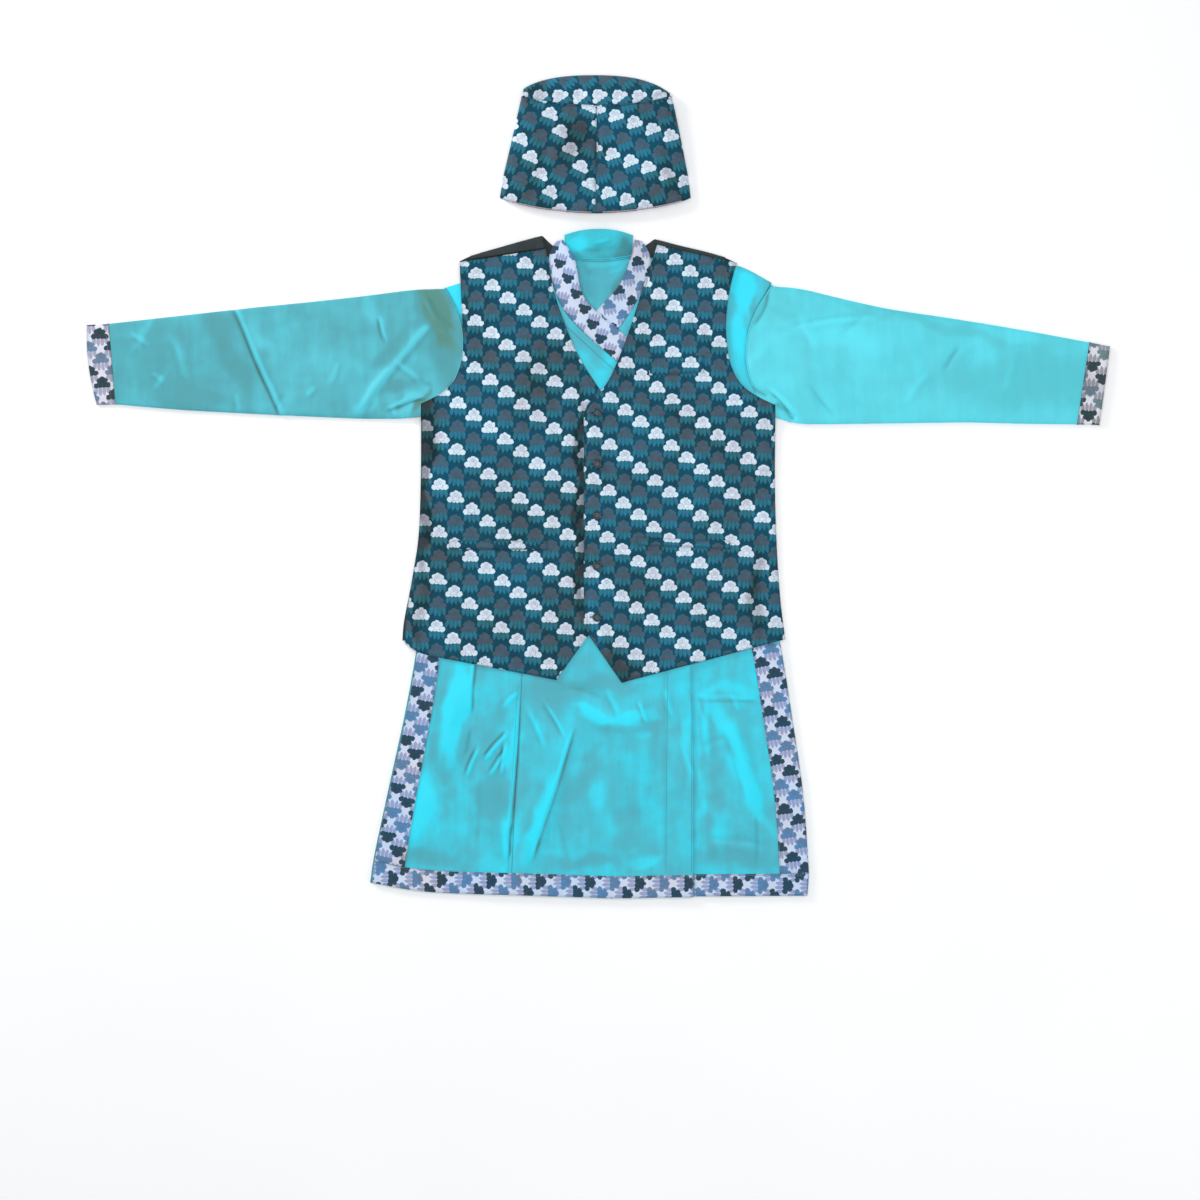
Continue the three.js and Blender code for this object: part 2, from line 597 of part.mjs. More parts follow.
// Side edges of the waistcoat from the shoulder tip round the armhole and down the side seam.
const WAISTCOAT_SIDE = {
  right: [
    { sideX: -208, sideY: 336 },
    { sideX: -207, sideY: 310 },
    { sideX: -204, sideY: 247 },
    { sideX: -202, sideY: 212 },
    { sideX: -205, sideY: 178 },
    { sideX: -220, sideY: 150 },
    { sideX: -244, sideY: 134 },
    { sideX: -266, sideY: 124 },
    { sideX: -266, sideY: ROLL_TOP },
    { sideX: -266, sideY: ROLL_FOOT },
    { sideX: -266, sideY: 30 },
    { sideX: -268, sideY: -68 },
    { sideX: -274, sideY: -108 },
    { sideX: -284, sideY: -165 },
    { sideX: -290, sideY: -205 },
    { sideX: -290, sideY: -236 },
  ],
  left: [
    { sideX: 207, sideY: 335 },
    { sideX: 199, sideY: 308 },
    { sideX: 193, sideY: 275 },
    { sideX: 190, sideY: 242 },
    { sideX: 192, sideY: 212 },
    { sideX: 197, sideY: 181 },
    { sideX: 212, sideY: 151 },
    { sideX: 238, sideY: 134 },
    { sideX: 265, sideY: 122 },
    { sideX: 265, sideY: ROLL_TOP },
    { sideX: 265, sideY: ROLL_FOOT },
    { sideX: 264, sideY: 0 },
    { sideX: 266, sideY: -62 },
    { sideX: 268, sideY: -108 },
    { sideX: 272, sideY: -170 },
    { sideX: 280, sideY: -229 },
  ],
};

const HEM_POINT_FADE = 103; // the pointed hems begin to spread the rows this far above them
const FRONT_EDGE = 11; // the right front's closing edge, under the left front
const CLOSING = -22; // the left front's closing edge

function waistcoatRightGrid() {
  const open = [
    { openX: -79, openY: 356 },
    { openX: -74, openY: 332 },
    { openX: -66, openY: 285 },
    { openX: -54, openY: 254 },
    { openX: -39, openY: 212 },
    { openX: -17, openY: 171 },
    { openX: 6, openY: 141 },
    { openX: FRONT_EDGE, openY: 124 },
    { openX: FRONT_EDGE, openY: ROLL_TOP },
    { openX: FRONT_EDGE, openY: ROLL_FOOT },
    { openX: FRONT_EDGE, openY: 30 },
    { openX: FRONT_EDGE, openY: -68 },
    { openX: FRONT_EDGE, openY: -108 },
    { openX: FRONT_EDGE, openY: -138 },
    { openX: FRONT_EDGE, openY: -164 },
    { openX: FRONT_EDGE, openY: -187 },
  ];
  const point = [
    { across: 0, shift: 0 },
    { across: 0.08, shift: -19 },
    { across: 0.753, shift: -91 },
    { across: 1, shift: 0 },
  ];
  return panelGrid({
    rows: sections(WAISTCOAT_SIDE.right, open),
    across: [0, ROLL_WIDTH, 0.08, 0.18, 0.29, 0.41, 0.53, 0.64, 0.753, 0.84, 0.92, 1],
    height: frontHeight,
    hem: { fade: HEM_POINT_FADE, hold: 0, shape: point },
  });
}

function waistcoatLeftGrid() {
  const open = [
    { openX: 88, openY: 362 },
    { openX: 79, openY: 334 },
    { openX: 68, openY: 304 },
    { openX: 57, openY: 266 },
    { openX: 44, openY: 227 },
    { openX: 29, openY: 187 },
    { openX: 10, openY: 146 },
    { openX: -15, openY: 127 },
    { openX: CLOSING, openY: 112 },
    { openX: CLOSING, openY: 92 },
    { openX: CLOSING, openY: ROLL_FOOT - 5 },
    { openX: CLOSING, openY: 0 },
    { openX: CLOSING, openY: -62 },
    { openX: CLOSING, openY: -108 },
    { openX: CLOSING, openY: -165 },
    { openX: CLOSING, openY: -212 },
  ];
  const point = [
    { across: 0, shift: 0 },
    { across: 0.812, shift: -79 },
    { across: 1, shift: 0 },
  ];
  return panelGrid({
    rows: sections(WAISTCOAT_SIDE.left, open),
    across: [0, ROLL_WIDTH, 0.1, 0.2, 0.32, 0.44, 0.56, 0.68, 0.76, 0.812, 0.87, 0.93, 1],
    height: leftFrontHeight,
    hem: { fade: HEM_POINT_FADE, hold: 0, shape: point },
  });
}

function waistcoatBackGrid() {
  const backOf = (row) => ({ ...row, sideX: row.sideX });
  const right = WAISTCOAT_SIDE.right.map(backOf);
  const left = WAISTCOAT_SIDE.left.map(backOf);
  right[15] = { sideX: -294, sideY: -231 };
  right[14] = { sideX: -293, sideY: -205 };
  const shoulderAndNeck = [
    { across: 0, shift: 2 },
    { across: 0.05, shift: 12 },
    { across: 0.13, shift: 21 },
    { across: 0.21, shift: 31 },
    { across: 0.3, shift: 40 },
    { across: 0.34, shift: 22 },
    { across: 0.42, shift: 6 },
    { across: 0.5, shift: 2 },
    { across: 0.58, shift: 6 },
    { across: 0.66, shift: 22 },
    { across: 0.7, shift: 35 },
    { across: 0.79, shift: 26 },
    { across: 0.88, shift: 18 },
    { across: 0.95, shift: 10 },
    { across: 1, shift: 0 },
  ];
  return panelGrid({
    rows: right.map((place, i) => ({ ...place, openX: left[i].sideX, openY: left[i].sideY })),
    across: shoulderAndNeck.map((place) => place.across),
    height: () => LEVEL.waistcoatBack,
    rowStep: 90,
    top: { fade: 110, shape: shoulderAndNeck },
  });
}

// The end of the waistcoat's back that rolls over the shoulder to meet the top of the front. `out` is
// the outer edge of the roll and `seam` the seam with the front.
const SHOULDER_ROLL = {
  right: [
    { outX: -192, outY: 345.5, seamX: -192, seamY: 339.5 },
    { outX: -154, outY: 356, seamX: -154, seamY: 345.5 },
    { outX: -121, outY: 366, seamX: -118, seamY: 351.5 },
    { outX: -85, outY: 375, seamX: -80, seamY: 356.5 },
  ],
  left: [
    { outX: 190, outY: 343.5, seamX: 190, seamY: 338.7 },
    { outX: 157, outY: 353, seamX: 157, seamY: 346.2 },
    { outX: 120, outY: 361, seamX: 122, seamY: 354.2 },
    { outX: 84, outY: 370.5, seamX: 88, seamY: 362 },
  ],
};
const ROLL_SECTION = [
  { toSeam: 0, outerZ: PLY, innerZ: PLY },
  { toSeam: -0.04, outerZ: 4.2, innerZ: 4 },
  { toSeam: 0.08, outerZ: 6.8, innerZ: 5.8 },
  { toSeam: 0.5, outerZ: 7.6, innerZ: 6.4 },
  { toSeam: 1, outerZ: 7.6, innerZ: 6.4 },
];

function shoulderRoll(side) {
  const grid = (inside) =>
    ROLL_SECTION.map((step) =>
      SHOULDER_ROLL[side].map((place) => {
        const x = mix(place.outX, place.seamX, step.toSeam);
        const y = mix(place.outY, place.seamY + SEAM, step.toSeam);
        const tuck = inside ? CLOTH * clamp(1 - 2 * step.toSeam) : 0;
        return new THREE.Vector3(x, y - tuck, inside ? step.innerZ : step.outerZ);
      }),
    );
  return wallBetween(grid(false), grid(true));
}

// Welts lie on the fronts: two over the hip pockets and one on the wearer's left chest.
const WELT_RISE = LEVEL.waistcoat + PLY;
const WELTS = {
  hip_right: { x1: -224, y1: -81, x2: -77, y2: -82, drop: 13 },
  hip_left: { x1: 58, y1: -76, x2: 197, y2: -82, drop: 12 },
  chest: { x1: 76, y1: 191, x2: 158, y2: 196, drop: 25 },
};

function welt({ x1, y1, x2, y2, drop }) {
  const grid = [0, 1].map((down) =>
    [0, 1 / 3, 2 / 3, 1].map((share) => new THREE.Vector3(mix(x1, x2, share), mix(y1, y2, share) - down * drop, WELT_RISE)),
  );
  return layer(grid);
}

// Five domed buttons close the waistcoat.
const BUTTON_RADIUS = 7;
const BUTTON_X = -2;
const BUTTON_TOP_Y = 110;
const BUTTON_STEP = 76.5;
const BUTTON_SECTION = [
  { r: 0, z: 0 },
  { r: 0.62, z: 0 },
  { r: 0.95, z: 0.9 },
  { r: 1, z: 1.7 },
  { r: 0.86, z: 2.6 },
  { r: 0.5, z: 3.1 },
  { r: 0, z: 3.3 },
];

function button(index) {
  const profile = BUTTON_SECTION.map(({ r, z }) => new THREE.Vector2(r * BUTTON_RADIUS, z));
  const geometry = new THREE.LatheGeometry(profile, 12);
  geometry.rotateX(Math.PI / 2);
  geometry.translate(BUTTON_X, BUTTON_TOP_Y - index * BUTTON_STEP, LEVEL.overlap + CLOTH + SEAM);
  return geometry;
}

// Cap, folded flat from front to back. Levels run from the head opening to the crown seam.
// `front` and `back` are how far each layer's edge lies below the straight line between the corners.
const CAP_LEVELS = [
  { leftX: -150, rightX: 140.5, y: 434, front: 24, back: 24.5, thick: 11 },
  { leftX: -145, rightX: 136.5, y: 464, front: 21, back: 18, thick: 12.5 },
  { leftX: -135, rightX: 128.5, y: 505, front: 18, back: 7, thick: 14.5 },
  { leftX: -125, rightX: 119.5, y: 548, front: 16, back: -5, thick: 16.5 },
  { leftX: -117, rightX: 111.5, y: 584, front: 15, back: -14, thick: 18 },
];
const CAP_FLOOR_SHARE = 0.3; // height of the side folds, as a share of the cap's thickness
const arc = (share) => (4 * share * (1 - share)) ** 0.8;

// A place on the cap's outside or, with an inset, on its inside.
function capPoint(level, place, upper, inset) {
  const width = level.rightX - level.leftX;
  const share = mix(inset / width, 1 - inset / width, place.across);
  const middle = level.thick * CAP_FLOOR_SHARE;
  const high = (level.thick - middle - inset) * place.rise;
  const low = -(middle - inset) * place.sink;
  const sag = upper ? level.front : level.back;
  return new THREE.Vector3(
    mix(level.leftX, level.rightX, share),
    level.y - sag * arc(place.across),
    middle + (upper ? high : low),
  );
}

// Half of the cap's band, from the seam at the middle of its front round the side to the back seam.
function capBand(side) {
  const half = side === "right" ? ROUND : ACROSS.slice(ROUND.length - 1).reverse();
  const gap = side === "right" ? -SEAM / 2 : SEAM / 2;
  const grid = (inset) =>
    withLevelsBetween(CAP_LEVELS).map((level) => {
      const shifted = (place, upper) => {
        const point = capPoint(level, place, upper, inset);
        if (place.across === 0.5) point.x += gap;
        return point;
      };
      const back = half.map((place) => shifted(place, false));
      const front = half.slice(1).map((place) => shifted(place, true));
      return [...back.reverse(), ...front];
    });
  return wallBetween(grid(0), grid(CAP_WALL));
}

function withLevelsBetween(levels) {
  return levels.flatMap((level, i) => {
    const next = levels[i + 1];
    if (!next) return [level];
    const midway = Object.fromEntries(Object.keys(level).map((key) => [key, mix(level[key], next[key], 0.5)]));
    return [level, midway];
  });
}

// The crown, an oval set into the top of the band and folded over towards the back.
const CROWN_SEAM = 1.2; // space left between the crown and the band
const CROWN_TOP = { middleX: -7, half: 111, depth: HALF_LENGTH - 584, power: 2.6 };
const CROWN_PATH = [
  { out: 0, rise: 1, in_y: 0, in_z: -1 },
  { out: 0.5, rise: 0.95, in_y: -0.2, in_z: -1 },
  { out: 0.85, rise: 0.6, in_y: -0.7, in_z: -0.7 },
  { out: 1, rise: 0, in_y: -1, in_z: 0 },
  { out: 0.94, rise: -0.65, in_y: -0.8, in_z: 0.5 },
  { out: 0.75, rise: -1, in_y: -0.3, in_z: 1 },
];

function capCrown() {
  const seam = CAP_LEVELS[CAP_LEVELS.length - 1];
  const places = ACROSS.slice(1, -1);
  const grid = (inset) => {
    const columns = places.map((place) => {
      const front = capPoint(seam, place, true, 0);
      const back = capPoint(seam, place, false, 0);
      const off = Math.abs((front.x - CROWN_TOP.middleX) / CROWN_TOP.half) ** CROWN_TOP.power;
      const top = seam.y + CROWN_TOP.depth * Math.sqrt(Math.max(0.02, 1 - off));
      const middle = seam.thick * CAP_FLOOR_SHARE;
      const path = CROWN_PATH.map((step) => {
        const from = (step.rise >= 0 ? front.y : back.y) + CROWN_SEAM;
        const z = middle + (step.rise >= 0 ? (front.z - middle) * step.rise : middle * step.rise);
        return new THREE.Vector3(front.x, mix(from, top, step.out) + inset * step.in_y, z + inset * step.in_z);
      });
      path.push(new THREE.Vector3(front.x, back.y + CROWN_SEAM, inset));
      return path;
    });
    return columns[0].map((_, i) => columns.map((path) => path[i]));
  };
  return wallBetween(grid(0), grid(CAP_WALL));
}

// The part
const suit = new THREE.Group();

function addPiece(name, geometry, colour, roughness = 0.85) {
  const mesh = new THREE.Mesh(geometry, new THREE.MeshStandardMaterial({ color: colour, roughness, metalness: 0 }));
  mesh.name = name;
  suit.add(mesh);
}

function addTunic() {
  const overFront = overFrontGrid();
  const sidePanel = sidePanelGrid();
  const underFront = underFrontGrid();
  addPiece("daura_back", layer(tunicBackGrid()), COLOUR.tunic);
  addPiece("daura_front_right", layer(overFront), COLOUR.tunic);
  addPiece("daura_side_right", layer(sidePanel), COLOUR.tunic);
  addPiece("daura_front_left", layer(underFront), COLOUR.tunic);
  for (const side of ["right", "left"]) {
    addPiece(`daura_sleeve_${side}`, sleeve(side), COLOUR.tunic);
    addPiece(`daura_cuff_${side}`, cuff(side), COLOUR.paleprint);
  }
  addPiece("daura_collar_right", layer(collarFront("right", LEVEL.overFront)), COLOUR.paleprint);
  addPiece("daura_collar_left", layer(collarFront("left", LEVEL.underFront)), COLOUR.paleprint);
  addPiece("daura_collar_back", layer(collarBack()), COLOUR.tunic);

  // Printed bands lie on the fronts, on the same points as the cloth under them.
  const borderRows = (grid) => grid.filter((row) => row[0].y <= LIFT_TOP + 1).slice(0, -1);
  const columnsTo = (rows, count) => rows.map((row) => row.slice(0, count));
  const hemRows = (grid) => grid.slice(-2);
  const hemRight = hemRows(sidePanel).map((row, i) => [...row, ...hemRows(overFront)[i].slice(1)]);
  addPiece("daura_side_border_right", layer(columnsTo(shortened(borderRows(sidePanel)), 3), PLY), COLOUR.paleprint);
  addPiece("daura_side_border_left", layer(columnsTo(shortened(borderRows(underFront)), 3), PLY), COLOUR.paleprint);
  addPiece("daura_hem_border_right", layer(hemRight, PLY), COLOUR.paleprint);
  addPiece("daura_hem_border_left", layer(clearOf(hemRows(underFront), FACING_EDGE + 6), PLY), COLOUR.paleprint);
}

// Ends a side border a seam's width above the hem band.
function shortened(rows) {
  const last = rows.length - 1;
  const foot = rows[last].map((p, j) => p.clone().lerp(rows[last - 1][j], 0.01).setY(p.y + SEAM));
  return [...rows.slice(0, last), foot];
}

// Keeps the part of each row that lies to the wearer's left of a line.
function clearOf(rows, line) {
  return rows.map((row) => {
    const kept = row.filter((p) => p.x > line + 1);
    const [a, b] = [row[kept.length - 1], row[kept.length]];
    return [...kept, a.clone().lerp(b, (a.x - line) / (a.x - b.x))];
  });
}

function addWaistcoat() {
  addPiece("waistcoat_back", layer(waistcoatBackGrid()), COLOUR.lining);
  addPiece("waistcoat_front_right", layer(waistcoatRightGrid()), COLOUR.print);
  addPiece("waistcoat_front_left", layer(waistcoatLeftGrid()), COLOUR.print);
  for (const side of ["right", "left"]) addPiece(`waistcoat_shoulder_${side}`, shoulderRoll(side), COLOUR.lining);
  for (const [name, size] of Object.entries(WELTS)) addPiece(`waistcoat_welt_${name}`, welt(size), COLOUR.print);
  for (let i = 0; i < 5; i++) addPiece(`waistcoat_button_${i + 1}`, button(i), COLOUR.button, 0.5);
}

function addCap() {
  addPiece("topi_band_right", capBand("right"), COLOUR.print);
  addPiece("topi_band_left", capBand("left"), COLOUR.print);
  addPiece("topi_crown", capCrown(), COLOUR.print);
}

addTunic();
addWaistcoat();
addCap();

export default suit;
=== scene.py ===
"""Looks of a suit laid flat: a wrap-fronted tunic, a waistcoat buttoned over it and a folded cap.

Each piece of cloth is a thin shell on the top of its solid, with its creases laid in one by one and light and
shade painted along them and in spots. Lengths in the tables are millimetres in the part's own frame, seen from
above: +X to the right and +Y up. The pieces whose names say right lie on the side of -X, as on the body.
"""

import logging
import math
from collections.abc import Callable
from dataclasses import dataclass, field
from enum import Enum

import bmesh
import bpy
import numpy as np
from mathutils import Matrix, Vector
from mathutils.bvhtree import BVHTree
from mathutils.kdtree import KDTree


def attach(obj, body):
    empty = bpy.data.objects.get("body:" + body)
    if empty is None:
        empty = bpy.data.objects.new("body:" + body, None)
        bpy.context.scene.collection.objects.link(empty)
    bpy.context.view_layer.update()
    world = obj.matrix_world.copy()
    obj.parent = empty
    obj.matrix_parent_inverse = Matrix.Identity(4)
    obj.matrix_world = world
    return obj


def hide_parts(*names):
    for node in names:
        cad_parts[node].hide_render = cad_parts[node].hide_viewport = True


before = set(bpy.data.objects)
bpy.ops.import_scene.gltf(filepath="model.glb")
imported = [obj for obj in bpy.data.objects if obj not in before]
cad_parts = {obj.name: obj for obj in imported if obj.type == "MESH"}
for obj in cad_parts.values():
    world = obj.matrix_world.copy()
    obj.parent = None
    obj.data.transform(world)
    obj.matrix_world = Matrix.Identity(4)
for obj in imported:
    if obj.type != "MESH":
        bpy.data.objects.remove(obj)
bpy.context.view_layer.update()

LOG = logging.getLogger("suit")
MM = 0.001
LIFT = 0.1 * MM
SEED = 7

RGB = tuple[float, float, float]


def linear(red: int, green: int, blue: int) -> tuple[float, float, float, float]:
    """Turn a display colour into the linear one that a shader takes.

    Args:
        red, green, blue: Display values from 0 to 255.

    Returns:
        The linear colour, with an alpha of 1.
    """
    shares = (red / 255, green / 255, blue / 255)
    return (*(c / 12.92 if c <= 0.04045 else ((c + 0.055) / 1.055) ** 2.4 for c in shares), 1.0)


def toned(colour: RGB, share: float) -> tuple[float, float, float, float]:
    """Take a share of a display colour, and make it linear."""
    return linear(*(min(255, int(c * share)) for c in colour))


def smooth(value: np.ndarray, low: float, high: float) -> np.ndarray:
    """Rise smoothly from 0 at low to 1 at high."""
    share = np.clip((value - low) / (high - low), 0.0, 1.0)
    return share * share * (3.0 - 2.0 * share)


def bell(distance: np.ndarray, width: float | np.ndarray) -> np.ndarray:
    """Fall smoothly from 1 at no distance to almost 0 at twice the width."""
    return np.exp(-((distance / width) ** 2))


def placed(name: str, data: bpy.types.ID) -> bpy.types.Object:
    """Make an object of a mesh, a lamp or a camera and put it in the scene.

    Args:
        name: The object's name.
        data: What it shows.

    Returns:
        The object, at the origin.
    """
    made = bpy.data.objects.new(name, data)
    bpy.context.scene.collection.objects.link(made)
    return made


def baked(holder: bpy.types.Object, name: str) -> bpy.types.Mesh:
    """Turn an object with modifiers into a plain mesh and remove the object.

    Args:
        holder: The object whose modifiers are used.
        name: The new mesh's name.

    Returns:
        The mesh.
    """
    graph = bpy.context.evaluated_depsgraph_get()
    mesh = bpy.data.meshes.new_from_object(holder.evaluated_get(graph), depsgraph=graph)
    mesh.name = name
    old = holder.data
    bpy.data.objects.remove(holder)
    if old.users == 0:
        bpy.data.meshes.remove(old)
    return mesh


# ---------------------------------------------------------------- nodes


@dataclass(frozen=True)
class Tree:
    """Adds nodes to one node tree."""

    tree: bpy.types.NodeTree

    def node(self, kind: str, settings: dict | None = None, inputs: dict | None = None) -> bpy.types.Node:
        """Add a node.

        Args:
            kind: The node's type name.
            settings: Properties of the node and their values.
            inputs: Socket names or numbers, with a value, a socket or a Num for each.

        Returns:
            The new node.
        """
        made = self.tree.nodes.new(kind)
        for key, value in (settings or {}).items():
            setattr(made, key, value)
        for key, value in (inputs or {}).items():
            source = value.socket if isinstance(value, Num) else value
            if isinstance(source, bpy.types.NodeSocket):
                self.tree.links.new(source, made.inputs[key])
            else:
                made.inputs[key].default_value = source
        return made

    def math(self, operation: str, *values: "Num | float") -> "Num":
        """Add one Math node and return its result."""
        made = self.node("ShaderNodeMath", {"operation": operation}, dict(enumerate(values)))
        return Num(self, made.outputs[0])

    def mix(self, factor: "Num | float", a: object, b: object) -> bpy.types.NodeSocket:
        """Mix two colours with a Mix node and return the colour."""
        settings = {"data_type": "RGBA", "blend_type": "MIX", "clamp_factor": True}
        return self.node("ShaderNodeMix", settings, {0: factor, 6: a, 7: b}).outputs[2]

    def dress(self, shader: bpy.types.Node, links: dict[str, object], fixed: dict[str, object]) -> None:
        """Give a shader what changes over a surface and what doesn't.

        Args:
            shader: The shader.
            links: Its inputs that take a socket or a Num.
            fixed: Its inputs that take one value.
        """
        for name, value in links.items():
            self.tree.links.new(value.socket if isinstance(value, Num) else value, shader.inputs[name])
        for name, value in fixed.items():
            shader.inputs[name].default_value = value


@dataclass(frozen=True, eq=False)
class Num:
    """A number from a socket, which takes part in plain expressions."""

    tree: Tree
    socket: bpy.types.NodeSocket

    def __add__(self, other: "Num | float") -> "Num":
        """Add another number."""
        return self.tree.math("ADD", self, other)

    def __sub__(self, other: "Num | float") -> "Num":
        """Take another number away."""
        return self.tree.math("SUBTRACT", self, other)

    def __rsub__(self, other: float) -> "Num":
        """Take this number away from a plain one."""
        return self.tree.math("SUBTRACT", other, self)

    def __mul__(self, other: "Num | float") -> "Num":
        """Multiply by another number."""
        return self.tree.math("MULTIPLY", self, other)

    def __truediv__(self, other: "Num | float") -> "Num":
        """Divide by another number."""
        return self.tree.math("DIVIDE", self, other)

    def __mod__(self, other: float) -> "Num":
        """What is left after whole steps of another number."""
        return self.tree.math("FLOORED_MODULO", self, other)

    def __abs__(self) -> "Num":
        """The number without its sign."""
        return self.tree.math("ABSOLUTE", self)

    def floor(self) -> "Num":
        """Round down."""
        return self.tree.math("FLOOR", self)

    def sine(self) -> "Num":
        """The sine of the number."""
        return self.tree.math("SINE", self)

    def least(self, *others: "Num") -> "Num":
        """Give the least of this number and some others.

        Args:
            others: The other numbers.

        Returns:
            The least of them all.
        """
        result = self
        for other in others:
            result = self.tree.math("MINIMUM", result, other)
        return result

    def step(self, low: float, high: float) -> "Num":
        """Rise smoothly from 0 at low to 1 at high, or fall where high is the lower.

        Args:
            low: Where the result is 0.
            high: Where the result is 1.

        Returns:
            The result, from 0 to 1.
        """
        settings = {"interpolation_type": "SMOOTHSTEP"}
        limits = {"From Min": low, "From Max": high, "To Min": 0.0, "To Max": 1.0}
        if low > high:
            limits = {"From Min": high, "From Max": low, "To Min": 1.0, "To Max": 0.0}
        made = self.tree.node("ShaderNodeMapRange", settings, {"Value": self, **limits})
        return Num(self.tree, made.outputs[0])


# ---------------------------------------------------------------- finishes


@dataclass(frozen=True)
class Plain:
    """A plain dyed cloth, whose colour lies between a dull and a bright tone, at random and by the light and
    shade painted on it: painted highlights and sheen on crests and in bright spots, painted shade in creases,
    in dull spots and at edges.

    shade is the painted shade colour of its creases and dullest spots. tone lifts the whole cloth towards the
    bright tone as painted light, or lowers it as painted shade below 0. mottle and streak say how clouded and
    how streaked it is at random, weave how coarse, and edge how much painted shade darkens its edges.
    """

    name: str
    dull: RGB
    bright: RGB
    shade: RGB
    roughness: float
    sheen: float
    tone: float = 0.0
    mottle: float = 1.0
    streak: float = 0.35
    weave: float = 0.5
    edge: float = 0.12


@dataclass(frozen=True)
class Inks:
    """The colours of a print: its ground, its leaves, its two kinds of flower and their petal lines."""

    ground: RGB
    leaf: RGB
    first: RGB
    second: RGB
    line: RGB
    second_line: RGB


@dataclass(frozen=True)
class Printed:
    """A cloth printed with flowers in dropped columns.

    Its inks lie between the cool and the warm ones. anchor is the middle of one flower of the first kind,
    angle turns the columns anticlockwise, pitch is the distance between columns and period the distance
    between flowers of one kind along a column. wide and tall scale the flowers, and cast is how cool the
    inks are on the whole.
    """

    name: str
    cool: Inks
    warm: Inks
    anchor: tuple[float, float]
    angle: float
    pitch: float = 24.1
    period: float = 70.6
    wide: float = 1.0
    tall: float = 1.0
    cast: float = 0.55
    roughness: float = 0.82


@dataclass(frozen=True)
class Thread:
    """Sewing thread, or a narrow binding."""

    name: str
    colour: RGB


@dataclass(frozen=True)
class Gloss:
    """A moulded, faintly clouded button."""

    name: str
    colour: RGB


Finish = Plain | Printed | Thread | Gloss


class Weave:
    """Shared parts of the cloth materials.

    THREADS are the spacings of the warp and the weft in millimetres, and BUMP is how strong the relief is.
    """

    THREADS = (0.7, 0.75)
    BUMP = {"Strength": 0.55, "Distance": 0.0009}

    @staticmethod
    def place(tree: Tree) -> tuple[Num, Num, bpy.types.NodeSocket]:
        """Find the place on the object.

        Args:
            tree: The material's tree.

        Returns:
            The place along X and along Y in millimetres, and the whole vector in metres.
        """
        place = tree.node("ShaderNodeTexCoord").outputs["Object"]
        parts = tree.node("ShaderNodeSeparateXYZ", inputs={0: place})
        return Num(tree, parts.outputs[0]) * 1000.0, Num(tree, parts.outputs[1]) * 1000.0, place

    @staticmethod
    def noise(
        tree: Tree, place: bpy.types.NodeSocket, scale: float, detail: float, stretch: RGB = (1, 1, 1)
    ) -> bpy.types.Node:
        """Add noise to a material.

        Args:
            tree: The material's tree.
            place: The place on the object.
            scale: The noise's repeats a metre.
            detail: How many finer layers it has.
            stretch: How densely it repeats along each axis.

        Returns:
            The node.
        """
        moved = tree.node("ShaderNodeVectorMath", {"operation": "MULTIPLY"}, {0: place, 1: stretch})
        values = {"Vector": moved.outputs[0], "Scale": scale, "Detail": detail}
        return tree.node("ShaderNodeTexNoise", inputs=values)

    @staticmethod
    def cloud(
        tree: Tree, place: bpy.types.NodeSocket, scale: float, detail: float, stretch: RGB = (1, 1, 1)
    ) -> Num:
        """Give the strength of such noise, about 0.5 on the whole."""
        return Num(tree, Weave.noise(tree, place, scale, detail, stretch).outputs[0])

    @staticmethod
    def stray(tree: Tree, place: bpy.types.NodeSocket, scale: float) -> tuple[Num, Num]:
        """Give two numbers that wander over the cloth on their own.

        Args:
            tree: The material's tree.
            place: The place on the object.
            scale: The noise's repeats a metre.

        Returns:
            The two numbers, about 0 on the whole.
        """
        colour = Weave.noise(tree, place, scale, 1.0).outputs["Color"]
        parts = tree.node("ShaderNodeSeparateXYZ", inputs={0: colour}).outputs
        return Num(tree, parts[0]) - 0.5, Num(tree, parts[1]) - 0.5

    @staticmethod
    def attribute(tree: Tree, name: str) -> Num:
        """Read one of the shell's own values, which carry the light and shade painted on it."""
        return Num(tree, tree.node("ShaderNodeAttribute", {"attribute_name": name}).outputs["Fac"])

    @staticmethod
    def relief(tree: Tree, x: Num, y: Num, place: bpy.types.NodeSocket, depth: float) -> bpy.types.NodeSocket:
        """Add the threads of a plain weave and the small unevenness of handled cloth.

        Args:
            tree: The material's tree.
            x, y: The place in millimetres.
            place: The place on the object.
            depth: How coarse the weave is.

        Returns:
            The normal.
        """
        warp, weft = (math.tau / width for width in Weave.THREADS)
        threads = (x * warp).sine() * 0.5 + (y * weft).sine() * 0.5
        crumple = Weave.cloud(tree, place, 55.0, 4.0)
        slub = Weave.cloud(tree, place, 260.0, 1.0, (1.0, 0.12, 1.0))
        height = threads * (0.05 * depth) + crumple * 0.9 + slub * (0.25 * depth)
        return tree.node("ShaderNodeBump", inputs={**Weave.BUMP, "Height": height}).outputs[0]


def new_material(name: str) -> tuple[bpy.types.Material, Tree, bpy.types.Node]:
    """Make an empty material with one shader.

    Args:
        name: The material's name.

    Returns:
        The material, its tree and its Principled BSDF.
    """
    material = bpy.data.materials.new(name)
    material.use_nodes = True
    material.node_tree.nodes.clear()
    tree = Tree(material.node_tree)
    shader = tree.node("ShaderNodeBsdfPrincipled")
    tree.node("ShaderNodeOutputMaterial", inputs={0: shader.outputs[0]})
    return material, tree, shader


